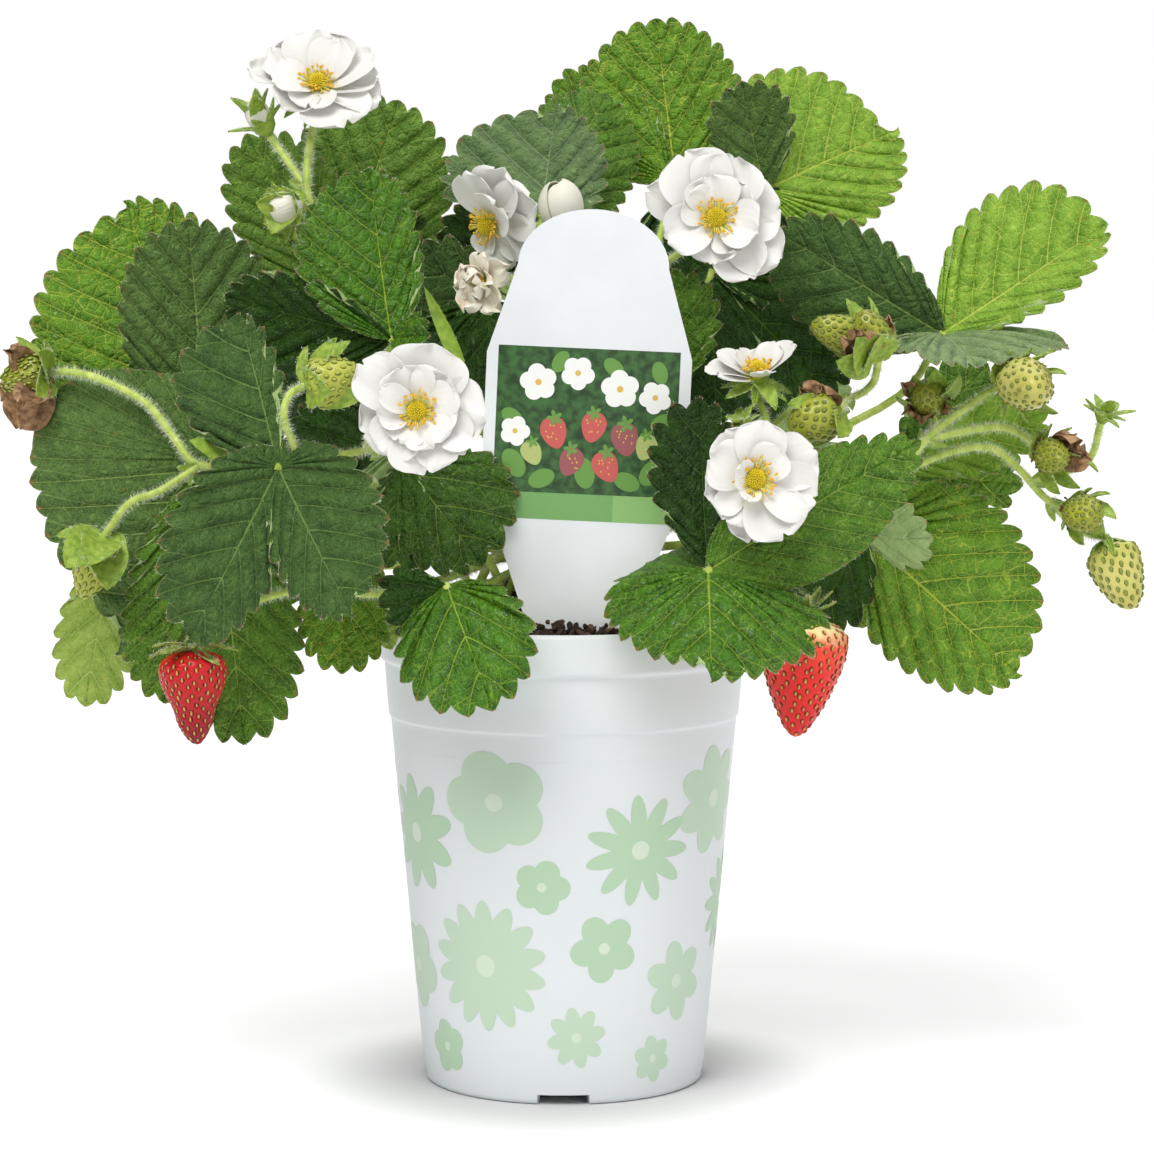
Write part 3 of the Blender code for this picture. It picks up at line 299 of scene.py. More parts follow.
# Each flower: its centre, the way it faces, its radius and cup depth in millimetres, the radius of
# its yellow middle, its petals, their look, and how long its sepals are. Each petal: its direction
# in degrees, counted left-handed from the flower's right as it faces the viewer, its length and
# width in millimetres, and its lift in degrees. Petals listed later lie nearer the viewer.
Flower = namedtuple("Flower", "centre faces radius cup heart petals look sepals", defaults=("petal", 1.0))
FLOWERS = {
    "flower_top_left": Flower((318, 84, -4), (0.0, -0.72, 0.69), 19, 5, 2.7, [
        (8, 17.5, 14, 10), (166, 21, 12, 8), (143, 18, 16, 26), (88, 17, 20, 38), (120, 14, 14, 34),
        (29, 18.5, 15, 22), (62, 15, 13, 44), (-18, 18.5, 15, 4), (-132, 14, 14, 14), (-62, 18.5, 20, 8),
        (190, 14, 13, 22), (-98, 13, 13, 26),
    ]),
    "flower_top_right": Flower((716, 218, -28), (0.0, -0.97, 0.22), 20, 5, 2.9, [
        (-34, 21.5, 16, 2), (157, 21.5, 12, 10), (118, 21, 20, 12), (74, 18.5, 20, 18), (13, 18.5, 18, 10),
        (-59, 20, 15, 0), (206, 16, 14, 14), (100, 12.5, 15, 34), (40, 12.5, 15, 30), (150, 11, 12, 32),
        (-95, 13.5, 13, 16), (-20, 13, 14, 22), (-55, 12, 12, 26),
    ]),
    "flower_behind_tag": Flower((486, 226, -15), (-0.62, -0.72, -0.3), 16, 7, 2.7, [
        (60, 19, 17, 10), (20, 19, 17, 2), (-20, 15, 14, 0), (100, 17, 14, 22), (38, 13, 14, 38),
        (-62, 13, 10, 10), (-112, 9, 8, 30), (-85, 14, 10, -8),
    ]),
    "flower_wilted": Flower((478, 281, -26), (-0.5, -0.8, -0.1), 8, 6, 1.2, [
        (20, 11, 8, 20), (75, 9, 7, 44), (130, 8, 7, 62), (190, 8, 8, 56), (250, 10, 8, 46),
        (-50, 11, 8, 26), (-10, 8, 7, 66), (110, 7, 6, 88), (215, 7, 6, 92), (-70, 7, 7, 80),
        (50, 7, 6, 95), (160, 6, 6, 100),
    ], look="petal_old"),
    "flower_front_right": Flower((755, 479, -76), (0.05, -0.99, 0.1), 17, 4, 2.9, [
        (123, 15, 13.5, 6), (24, 18.2, 15, 4), (-93, 17, 13, 4), (198, 14, 14, 10), (155, 14, 13.5, 12),
        (82, 16, 13.5, 14), (-20, 17.5, 15.5, 8), (-62, 18, 17, 10), (-125, 14, 12, 14), (50, 11, 11, 26),
        (165, 8.5, 8, 58), (-113, 8.5, 6, 56),
    ]),
    "flower_half_spent": Flower((758, 366, -46), (0.05, -0.42, 0.9), 13, 8, 2.2, [
        (172, 14.5, 9.5, 8), (158, 13, 9, 34), (196, 12, 8, 22), (4, 14, 10, 62), (40, 11, 8, 66),
        (80, 8, 7, 60), (-80, 7.5, 7, 48), (140, 9, 7, 58),
    ], sepals=1.25),
    "flower_front_left": Flower((417, 411, -78), (-0.05, -0.99, 0.1), 19, 4, 2.8, [
        (141, 20.5, 14.5, 2), (200, 16, 16, 6), (74, 18.6, 21, 10), (-5, 18.6, 19, 10), (-46, 17.2, 17, 10),
        (-80, 17.2, 18, 12), (230, 14.5, 14, 14), (110, 13, 15, 26), (45, 13, 15, 26), (10, 12, 13, 30),
        (-60, 11.5, 13, 30), (-122, 10, 11.5, 34), (150, 13, 7, 40), (180, 11, 10, 30),
    ]),
}

# Each fruit: where its stalk ends, its tip, its radius in millimetres, its kind, its calyx's
# radius, how far its sepals fold back from its body (0 lies on it, 1 spreads level) and how wide
# they are, the places and widths of single sepals and dry petals, how much its middle is pinched,
# whether dry stamens ring it, and the tops, tips and radii of joined berries.
Fruit = namedtuple(
    "Fruit", "top tip radius kind calyx spread wide sepals scraps waist ring lobes",
    defaults=((), (), 0.0, False, ()),
)
FRUITS = {
    "fruit_red_left": Fruit((190, 646, -68), (197, 745, -69), 9.8, "red", 13, 0.86, 3.6, waist=0.13),
    "fruit_red_right": Fruit((806, 613, -62), (795, 737, -64), 12.4, "blushed", 10, 1.45, 2.8),
    "fruit_dried": Fruit((48, 374, -16), (2, 383, -18), 6.2, "spent", 15, 0.42, 7.5, sepals=[
        (16, 337, -14, 3.4), (43, 340, -22, 2.8), (30, 410, -12, 4.2), (38, 352, -30, 5.0),
        (36, 396, -28, 5.5),
    ], scraps=[
        (5, 343, -8, 9), (6, 350, -26, 8), (17, 431, -20, 15), (2, 404, -6, 12), (30, 424, -4, 11),
        (22, 402, -32, 10), (4, 372, 2, 12),
    ]),
    "fruit_green_left": Fruit((104, 538, -50), (82, 598, -54), 6.4, "unripe", 13, 0.5, 6.4, sepals=[
        (56, 536, -52, 4.2), (66, 568, -64, 8.0), (107, 590, -62, 7.0), (122, 556, -52, 5.5),
        (88, 566, -68, 6.5), (80, 560, -40, 6.0),
    ]),
    "fruit_green_hooked": Fruit((306, 386, -62), (363, 373, -64), 7.4, "unripe", 11, 0.35, 4.6, sepals=[
        (308, 346, -62, 3.0), (337, 338, -66, 3.6), (350, 341, -56, 4.4), (330, 390, -73, 6.4),
        (362, 398, -66, 5.2), (340, 370, -52, 5.0),
    ]),
    "fruit_double": Fruit((875, 360, -42), (826, 318, -46), 8.6, "young", 9, 0.6, 5.0, sepals=[
        (846, 299, -34, 6.0), (868, 297, -34, 3.6), (889, 318, -40, 5.5), (836, 361, -50, 6.0),
        (856, 338, -54, 8.0), (880, 335, -52, 7.0), (816, 322, -36, 5.0),
    ], scraps=[
        (848, 338, -56, 8), (866, 336, -57, 7), (890, 315, -44, 6),
    ], lobes=[((858, 338, -43), (811, 324, -45), 5.4), ((874, 348, -43), (863, 311, -47), 6.2)]),
    "fruit_green_middle": Fruit((836, 410, -44), (790, 430, -50), 7.2, "young", 9, 0.7, 4.4, sepals=[
        (788, 404, -50, 4.2), (823, 391, -38, 4.4), (838, 438, -54, 5.2), (846, 436, -34, 4.2),
        (812, 446, -46, 4.4),
    ], scraps=[
        (799, 386, -48, 8), (820, 387, -50, 9),
    ]),
    "fruit_dark_small": Fruit((930, 404, -18), (926, 388, -28), 5.6, "young", 8.5, 0.95, 4.4, sepals=[
        (935, 368, -28, 4.6), (959, 374, -28, 5.0), (913, 376, -24, 4.0), (958, 404, -24, 4.2),
        (896, 396, -22, 3.6),
    ], scraps=[
        (906, 412, -26, 5), (920, 421, -28, 5), (902, 384, -26, 5), (948, 410, -28, 4),
    ], ring=True),
    "fruit_white_right": Fruit((1020, 382, -36), (1036, 389, -58), 7.9, "white", 11, 0.95, 5.2, sepals=[
        (992, 368, -42, 5.0), (1010, 352, -42, 5.0), (1032, 348, -44, 5.4), (1055, 351, -44, 5.0),
        (1066, 374, -44, 5.0), (1058, 413, -44, 5.0), (1031, 425, -42, 5.4), (1003, 419, -40, 5.0),
    ], ring=True),
    "fruit_right_second": Fruit((1045, 452, -38), (1062, 462, -52), 4.9, "young", 9.5, 0.95, 5.0, sepals=[
        (1036, 436, -42, 5.2), (1060, 494, -46, 5.6), (1098, 472, -42, 5.2), (1080, 488, -44, 4.6),
        (1052, 424, -40, 4.4), (1072, 428, -38, 3.6),
    ], scraps=[
        (1082, 444, -50, 9), (1090, 462, -48, 8), (1074, 434, -46, 6),
    ], ring=True),
    "fruit_right_third": Fruit((1078, 508, -38), (1092, 524, -52), 5.6, "young", 9, 0.9, 5.0, sepals=[
        (1070, 498, -42, 5.0), (1116, 519, -44, 5.0), (1084, 545, -44, 5.0), (1110, 494, -42, 4.6),
        (1062, 530, -40, 4.2), (1104, 538, -42, 4.2), (1092, 488, -40, 3.8),
    ], ring=True),
    "fruit_right_long": Fruit((1106, 541, -40), (1133, 609, -45), 7.4, "white", 9, 0.35, 4.2),
}

# Each bud: its base, its tip, its radius in millimetres, what shows of its petals, the places and
# widths of single sepals, and how full it is where it is about to open.
Bud = namedtuple("Bud", "top tip radius kind sepals full", defaults=((), 0))
BUDS = {
    "bud_top_left": Bud((268, 133, 0), (247, 94, -2), 5.4, "opening"),
    "bud_white_left": Bud((299, 205, -14), (268, 212, -20), 5.6, "white", sepals=[
        (256, 203, -20, 5.0), (271, 234, -20, 5.0), (294, 240, -18, 5.0), (278, 186, -17, 5.0),
        (266, 191, -12, 4.0), (300, 190, -13, 4.5), (262, 222, -10, 4.5), (306, 222, -14, 4.0),
    ]),
    "bud_white_centre": Bud((562, 226, -12), (558, 184, -16), 5.6, "white", full=1.3),
    "bud_right_empty": Bud((1102, 420, -36), (1113, 388, -38), 4.2, "empty"),
    "bud_small": Bud((744, 426, -48), (736, 408, -50), 3.4, "empty"),
}

# Each flower stalk: what it carries, the places its stem passes, its branches (what each carries
# and the places it passes, from its fork on) and its leafy bracts (base, tip and width).
Stalk = namedtuple("Stalk", "carries places branches bracts", defaults=((), ()))
STALKS = {
    "stalk_left": Stalk("fruit_dried", [
        (330, 475, -40), (272, 467, -50), (200, 465, -48), (176, 440, -44), (146, 403, -32),
        (100, 379, -27), (68, 372, -22),
    ], branches=[
        ("fruit_green_left", [(200, 465, -48), (160, 491, -50), (130, 503, -50)]),
    ], bracts=[((240, 465, -50), (189, 440, -58), 7.5)]),
    "stalk_top_left": Stalk("flower_top_left", [
        (440, 430, 4), (360, 300, -6), (318, 218, -10), (307, 190, -10), (309, 150, -6),
    ], branches=[
        ("bud_top_left", [(307, 190, -10), (287, 160, -5)]),
        ("bud_white_left", [(318, 218, -10), (310, 208, -12)]),
    ]),
    "stalk_front_left": Stalk("flower_front_left", [
        (486, 520, -26), (424, 444, -38), (388, 446, -52), (374, 452, -60), (371, 436, -66),
    ], branches=[
        ("fruit_green_hooked", [
            (388, 446, -52), (310, 458, -58), (290, 436, -64), (284, 412, -67), (290, 394, -65),
        ]),
    ]),
    "stalk_centre": Stalk("flower_behind_tag", [
        (560, 470, -6), (556, 330, -8), (545, 270, -10), (546, 232, -8),
    ], branches=[
        ("bud_white_centre", [(545, 270, -10), (562, 240, -10)]),
        ("flower_wilted", [(556, 330, -8), (532, 284, -10)]),
    ], bracts=[((464, 374, -26), (424, 286, -24), 4.5)]),
    "stalk_top_right": Stalk("flower_top_right", [
        (600, 430, -14), (630, 330, -14), (658, 272, -14), (690, 246, -12),
    ]),
    "stalk_right": Stalk("fruit_white_right", [
        (720, 500, 0), (830, 488, -16), (893, 476, -26), (925, 441, -30), (960, 412, -30), (995, 388, -32),
    ], branches=[
        ("fruit_right_second", [(925, 441, -30), (960, 432, -30), (1000, 427, -32), (1024, 436, -34)]),
        ("fruit_right_third", [
            (893, 476, -26), (950, 452, -26), (990, 448, -28), (1018, 468, -30), (1048, 500, -32),
        ]),
        ("fruit_right_long", [(1048, 500, -32), (1080, 530, -32)]),
        ("bud_right_empty", [(1030, 482, -31), (1086, 462, -30)]),
        ("fruit_dark_small", [(925, 441, -30), (934, 424, -16)]),
    ]),
    "stalk_middle_right": Stalk("flower_half_spent", [
        (680, 520, -22), (740, 460, -40), (766, 426, -46),
    ], branches=[
        ("bud_small", [(740, 460, -40)]),
        ("fruit_double", [(740, 460, -40), (800, 404, -30), (850, 398, -32), (872, 384, -36)]),
        ("fruit_green_middle", [(850, 398, -32)]),
    ]),
    "stalk_front_right": Stalk("flower_front_right", [
        (646, 536, -26), (704, 512, -44), (742, 494, -60),
    ]),
    "stalk_low_left": Stalk("fruit_red_left", [
        (400, 592, -48), (300, 590, -58), (225, 612, -63), (198, 628, -65),
    ]),
    "stalk_low_right": Stalk("fruit_red_right", [
        (660, 592, -26), (740, 592, -42), (798, 594, -54),
    ]),
}


# ---------------------------------------------------------------------------------- mesh pieces
def unit(vectors):
    """The same directions at length one."""
    vectors = np.asarray(vectors, float)
    return vectors / np.maximum(np.linalg.norm(vectors, axis=-1, keepdims=True), 1e-12)


class Piece:
    """Gathers the patches of one node's visual piece, each with its look and its two maps."""

    def __init__(self, node, seed=None):
        """Each node's random choices start from a number of its own."""
        self.node = node
        self.points, self.faces, self.marks, self.flats = [], [], [], []
        self.looks, self.start, self.count = [], 0, 0
        if seed is None:
            seed = sum((place + 1) * ord(letter) for place, letter in enumerate(node))
        self.random = np.random.default_rng(seed)

    def add(self, points, faces, look, marks=None, flat=None):
        """Adds points (n, 3) and faces (m, 3 or 4) in one look, with two optional maps (n, 2)."""
        points = np.asarray(points, float).reshape(-1, 3)
        empty = np.zeros((len(points), 2))
        self.points.append(points)
        self.marks.append(empty if marks is None else np.asarray(marks, float).reshape(-1, 2))
        self.flats.append(empty if flat is None else np.asarray(flat, float).reshape(-1, 2))
        self.start = self.count
        self.count += len(points)
        self.more_faces(faces, look)

    def more_faces(self, faces, look):
        """Adds faces in another look between the points of the last patch."""
        self.faces.append(np.asarray(faces, int) + self.start)
        self.looks.append(look)

    def make(self, slot, sharp=60):
        """The scene object, riding on the root and standing for its CAD node."""
        points = np.concatenate(self.points)
        totals = np.concatenate([np.full(len(faces), faces.shape[1]) for faces in self.faces])
        corners = np.concatenate([faces.ravel() for faces in self.faces])
        names = sorted(set(self.looks))
        numbers = [np.full(len(faces), names.index(look)) for faces, look in zip(self.faces, self.looks)]
        name = self.node + "_look"
        mesh = bpy.data.meshes.new(name)
        mesh.vertices.add(len(points))
        mesh.vertices.foreach_set("co", points.ravel())
        mesh.loops.add(len(corners))
        mesh.loops.foreach_set("vertex_index", corners)
        mesh.polygons.add(len(totals))
        mesh.polygons.foreach_set("loop_start", np.cumsum(totals) - totals)
        mesh.polygons.foreach_set("material_index", np.concatenate(numbers))
        for label, sort in (("marks", self.marks), ("flat", self.flats)):
            layer = mesh.uv_layers.new(name=label)
            layer.uv.foreach_set("vector", np.concatenate(sort)[corners].ravel())
        mesh.update(calc_edges=True)
        mesh.validate()
        mesh.shade_smooth()
        mesh.set_sharp_from_angle(angle=math.radians(sharp))
        for look in names:
            mesh.materials.append(material(look))
        made = bpy.data.objects.new(name, mesh)
        bpy.context.scene.collection.objects.link(made)
        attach(made, "root")
        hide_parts(self.node)


def grid_faces(rows, columns, around=False):
    """The quads between the points of a grid, whose last column may join its first."""
    numbers = np.arange(rows * columns).reshape(rows, columns)
    if around:
        numbers = np.concatenate((numbers, numbers[:, :1]), axis=1)
    corners = (numbers[:-1, :-1], numbers[:-1, 1:], numbers[1:, 1:], numbers[1:, :-1])
    return np.stack(corners, axis=-1).reshape(-1, 4)


def fan(sides, first, tip, flip=False):
    """The triangles between a ring of points, numbered from first, and their tip."""
    corner = np.arange(sides)
    ring = (corner + first, (corner + 1) % sides + first)
    return np.stack((*ring[::-1 if flip else 1], np.full(sides, tip)), axis=-1)


def turned(radii, turns, heights):
    """Points at these radii, turns and heights about Z, all shaped alike or stretched to be."""
    return np.stack(np.broadcast_arrays(radii * np.cos(turns), radii * np.sin(turns), heights), axis=-1)


def even_turns(count):
    """The turns of points spread evenly round a ring."""
    return math.tau * np.arange(count) / count


def grid_normals(grid):
    """The directions out of a grid of points."""
    crossed = np.cross(np.gradient(grid, axis=1), np.gradient(grid, axis=0))
    normal = unit(crossed)
    broken = np.linalg.norm(crossed, axis=-1) < 1e-14
    if broken.any():
        normal[broken] = unit(normal[~broken].mean(axis=0))
    return normal


def add_sheet(piece, grid, thick, over, under=None, marks=None, flat=None):
    """A thin closed sheet over a grid of points (rows, columns, 3), with a look on each side."""
    rows, columns = grid.shape[:2]
    half = grid_normals(grid) * thick / 2
    twice = {}
    for label, sort in (("marks", marks), ("flat", flat)):
        twice[label] = None if sort is None else np.concatenate((sort.reshape(-1, 2),) * 2)
    upper = grid_faces(rows, columns)
    count = rows * columns
    piece.add(np.stack((grid + half, grid - half)), upper, over, **twice)
    piece.more_faces(upper[:, ::-1] + count, under or over)
    numbers = np.arange(count).reshape(rows, columns)
    rim = np.concatenate((numbers[0, :], numbers[1:, -1], numbers[-1, -2::-1], numbers[-2:0:-1, 0]))
    after = np.roll(rim, -1)
    piece.more_faces(np.stack((after, rim, rim + count, after + count), axis=-1), over)


def run_along(points):
    """How far each point lies along the line through them."""
    return np.concatenate(([0.0], np.cumsum(np.linalg.norm(np.diff(points, axis=0), axis=1))))


def curve(points, steps):
    """A smooth curve through the points, with this many steps between each two."""
    points = np.asarray(points, float)
    ends = np.concatenate(((2 * points[0] - points[1])[None], points, (2 * points[-1] - points[-2])[None]))
    t = (np.arange(steps) / steps)[:, None]
    parts = []
    for before, here, there, after in zip(ends, ends[1:], ends[2:], ends[3:]):
        parts.append(
            0.5 * (2 * here + (there - before) * t
                   + (2 * before - 5 * here + 4 * there - after) * t ** 2
                   + (3 * here - before - 3 * there + after) * t ** 3)
        )
    return np.concatenate(parts + [points[-1:]])


def add_tube(piece, route, radii, look, sides=STEM_SIDES):
    """A round stem along a route, closed at both ends, and its rings of points."""
    ahead = unit(np.gradient(route, axis=0))
    side = np.cross((0.31, 0.17, 0.93), ahead[0])
    turns = even_turns(sides)[:, None]
    rings = []
    for point, way, radius in zip(route, ahead, np.broadcast_to(radii, len(route))):
        side = unit(side - way * side.dot(way))
        rings.append(point + (np.cos(turns) * side + np.sin(turns) * np.cross(way, side)) * radius)
    rings = np.array(rings)
    points = np.concatenate((rings.reshape(-1, 3), route[:1], route[-1:]))
    along = run_along(route) / MM
    flat = np.stack((np.tile(np.arange(sides) / sides, len(route)), np.repeat(along, sides)), axis=-1)
    flat = np.concatenate((flat, [[0, along[0]], [0, along[-1]]]))
    piece.add(points, grid_faces(len(route), sides, around=True), look, flat=flat)
    caps = fan(sides, 0, len(points) - 2, True), fan(sides, (len(route) - 1) * sides, len(points) - 1)
    piece.more_faces(np.concatenate(caps), look)
    return rings


def add_hairs(piece, roots, ways, length, width=HAIR_WIDTH):
    """Fine hairs, each a thin triangle that stands out of its root."""
    count = len(roots)
    ways = unit(ways + piece.random.normal(0, 0.22, (count, 3)))
    side = unit(np.cross(ways, piece.random.normal(0, 1, (count, 3)))) * width / 2
    reach = ways * (length * piece.random.uniform(0.6, 1.15, count))[:, None]
    points = np.stack((roots - side, roots + side, roots + reach), axis=1).reshape(-1, 3)
    piece.add(points, np.arange(count * 3).reshape(-1, 3), "hair")


def hairs_on_tube(piece, route, rings, length, share):
    """Hairs all round a stem, share of them to each square millimetre."""
    random = piece.random
    out = np.linalg.norm(rings[:-1] - rings[:-1].mean(axis=1, keepdims=True), axis=-1)
    chance = np.linalg.norm(np.diff(route, axis=0), axis=1) * (out.mean(axis=1) * math.tau)
    count = int(chance.sum() / MM ** 2 * share)
    picks = random.choice(len(chance), count, p=chance / chance.sum())
    sides = rings.shape[1]
    t = random.uniform(0, 1, (count, 1))
    corner = random.integers(0, sides, count)
    after = (corner + 1) % sides
    blend = random.uniform(0, 1, (count, 1))
    low, high = (rings[row, corner] * (1 - blend) + rings[row, after] * blend for row in (picks, picks + 1))
    roots = low * (1 - t) + high * t
    middle = route[picks] * (1 - t) + route[picks + 1] * t
    add_hairs(piece, roots, unit(roots - middle), length)


# -------------------------------------------------------------------------------------- leaflets
def outline(along, wedge, point):
    """Half a blade's width at this share of its length, as a share of half its greatest width."""
    widest = wedge / (wedge + point)
    along = np.clip(along, 0.0, 1.0)
    return (along / widest) ** wedge * ((1 - along) / (1 - widest)) ** point


def blade_frame(base, tip, face):
    """A blade's length, and its directions along, across and out of its face."""
    length = np.linalg.norm(tip - base)
    along = (tip - base) / length
    face = unit(face - along * face.dot(along))
    return length, along, np.cross(along, face), face


def rolled_frame(base, tip, roll):
    """The frame of a blade that faces the viewer, but for its roll in degrees about its midrib."""
    length, along, across, face = blade_frame(base, tip, EYE - (base + tip) / 2)
    turn = math.radians(roll)
    face = face * math.cos(turn) + across * math.sin(turn)
    return length, along, np.cross(along, face), face


def blade_surface(base, frame, bend, fold, share, aside, lift):
    """Points of the blade: share of its length, metres aside from the midrib, lift above its surface."""
    length, along, across, face = frame
    turn = math.radians(bend) or 1e-4
    radius = length / (2 * math.sin(turn / 2))
    here = (turn * (share - 0.5))[..., None]
    forward = length / 2 + radius * np.sin(here)
    height = radius * (math.cos(turn / 2) - np.cos(here))
    out = face * np.cos(here) - along * np.sin(here)
    slope = math.radians(fold)
    raised = (math.sin(slope) * np.abs(aside) + lift)[..., None]
    return base + along * forward + face * height + across * math.cos(slope) * aside[..., None] + out * raised


def add_leaflet(piece, hub, plan):
    """A toothed leaflet with pleats between its veins, and hairs along its margin."""
    random = piece.random
    frame = rolled_frame(hub, seen(plan.tip), plan.roll)
    length = frame[0]
    left, right = plan.left * MM, plan.right * MM
    mean = (left + right) / 2
    shares = np.linspace(0, 1, 400)
    run = run_along(np.stack((outline(shares, plan.wedge, plan.point) * mean, shares * length), axis=-1))
    count = max(4, 2 * round(run[-1] * TOOTHED_SHARE / TOOTH_WIDE / 2))
    wide = run[-1] * TOOTHED_SHARE / count
    first = -count / TOOTHED_SHARE
    phases = (np.arange(math.floor(first), 0)[:, None] + np.array(TOOTH_STEPS)[None, :]).ravel()
    phases = np.concatenate(([first], phases[phases > first + 0.05], [0.0]))
    margin = np.interp(1 - phases / first, run / run[-1], shares)
    half = outline(margin, plan.wedge, plan.point)
    midrib = np.maximum.accumulate(np.maximum(margin - VEIN_RISE * half * mean / length, 0.02 * margin))
    columns = np.concatenate((-BLADE_COLUMNS[:0:-1], BLADE_COLUMNS))
    out, side = np.abs(columns)[None, :], np.sign(columns)[None, :]

    def each_half(left_value, right_value):
        """One value left of the midrib and the other one right of it."""
        return np.where(columns < 0, left_value, right_value)

    widths = each_half(left, right)
    share = midrib[:, None] + (margin - midrib)[:, None] * out ** 1.15
    swept = each_half(*np.array(plan.sweep) * MM)
    share = share - swept / length * out ** 1.3 * (1 - 0.6 * margin[:, None])
    aside = side * widths * half[:, None] * out

    offset = (phases + 0.5) % 1 - 0.5
    lobe = (1 - np.abs(2 * offset) ** TOOTH_ROUND.get(plan.look, TOOTH_SHARP)) ** 0.75
    toothed = np.clip((phases - first * (1 - plan.bare)) / 1.5 + 0.6, 0, 1)
    tooth_tip = np.exp(-(offset / 0.07) ** 2)
    size = random.uniform(0.75, 1.2, count * 2 + 4)[np.round(phases - first).astype(int)]
    reach = wide * TOOTH_DEEP * ((lobe - 0.6) * size + 0.07 * tooth_tip) * toothed
    reach = np.where(phases > -0.75, reach * 0.85, reach)
    ahead = unit(np.gradient(np.stack((half * mean, margin * length), axis=-1), axis=0) + 1e-12)
    share = share + (reach * (TOOTH_LEAN * ahead[:, 1] - ahead[:, 0]) / length)[:, None] * out ** 3
    aside = aside + side * (reach * (ahead[:, 1] + TOOTH_LEAN * ahead[:, 0]))[:, None] * out ** 3

    pleat = np.abs(np.sin(math.pi * phases)) ** 0.75
    crease = 0.3 * np.abs(np.sin(math.pi * offset))[:, None] * out ** 2
    grow = np.minimum(1.15, widths / FULL_PLEAT_WIDTH)
    shape = np.sin(math.pi * out ** 0.75) ** 0.8 + 0.25 * out ** 2
    lift = PLEAT * grow * ((pleat - 0.5)[:, None] * shape + crease) * (0.35 + 0.65 * toothed[:, None])
    lift = lift - MIDRIB_DEPTH * grow * np.exp(-(out / 0.08) ** 2) * (1 - margin[:, None]) ** 0.4
    lift = lift + plan.cup * aside ** 2 / mean
    lift = lift - np.abs(aside) * each_half(*np.tan(np.radians(plan.opened)))
    lift = lift + aside * math.tan(math.radians(plan.twist)) * (share - 0.3)
    swing = random.uniform(0, math.tau, 4)
    along = 14 * margin[:, None]
    wave = each_half(np.sin(along + swing[0]), np.sin(along + swing[1]))
    wave = wave + 0.6 * each_half(np.sin(2.2 * along + swing[2]), np.sin(2.2 * along + swing[3]))
    lift = lift + plan.wave * MM * np.minimum(1, grow) ** 2 * wave * out ** 2.2 * half[:, None]
    lift = lift + random.normal(0, 0.14 * MM, lift.shape) * out ** 2 * (half[:, None] > 0.2)

    grid = blade_surface(hub, frame, plan.bend, plan.fold, share, aside, lift)
    marks = np.stack(np.broadcast_arrays(columns, phases[:, None]), axis=-1)
    flat = np.stack((aside / MM, share * length / MM), axis=-1)
    flat = flat + np.array((100.0 * math.floor(random.uniform(1, 9)), 0.0))
    add_sheet(piece, grid, LEAF_THICK, "leaf_" + plan.look, "leaf_under", marks, flat)

    normal = grid_normals(grid)
    for column, inner in ((0, 1), (-1, -2)):
        rim = grid[:, column]
        outward = unit(rim - grid[:, inner])
        picks = random.integers(1, len(rim) - 1, int(run[-1] / MM * 2.0))
        t = random.uniform(0, 1, (len(picks), 1))
        roots = rim[picks] * (1 - t) + rim[picks + 1] * t
        ways = outward[picks] + normal[picks, column] * random.uniform(-0.5, 0.3, (len(picks), 1))
        add_hairs(piece, roots, ways, 0.8 * MM, HAIR_WIDTH * 0.8)


def blade_grid(rows, columns):
    """The shares along and across a blade of a grid of points."""
    spread, share = np.meshgrid(np.linspace(-1, 1, columns), np.linspace(0, 1, rows))
    return share, spread


def add_blade(piece, base, frame, wide, bend, fold, ridge, look, map_start=0.0, thick=SEPAL_THICK,
              hairs=5, scatter=0.2 * MM, long=0.9 * MM):
    """A small pointed leaf, such as a sepal, wide at each of its points, with hairs on its margin."""
    share, spread = blade_grid(*wide.shape)
    grid = blade_surface(base, frame, bend, fold, share, spread * wide, ridge)
    flat = np.stack((spread * wide / MM, share * frame[0] / MM + map_start), axis=-1)
    add_sheet(piece, grid, thick, look, look, flat=flat)
    edge = np.concatenate((grid[1:-1, 0], grid[1:-1, -1]))
    out = edge - np.concatenate((grid[1:-1, 1], grid[1:-1, -2]))
    again = piece.random.integers(0, len(edge), hairs * len(edge))
    roots = edge[again] + piece.random.normal(0, scatter, (len(again), 3))
    add_hairs(piece, roots, out[again], long)


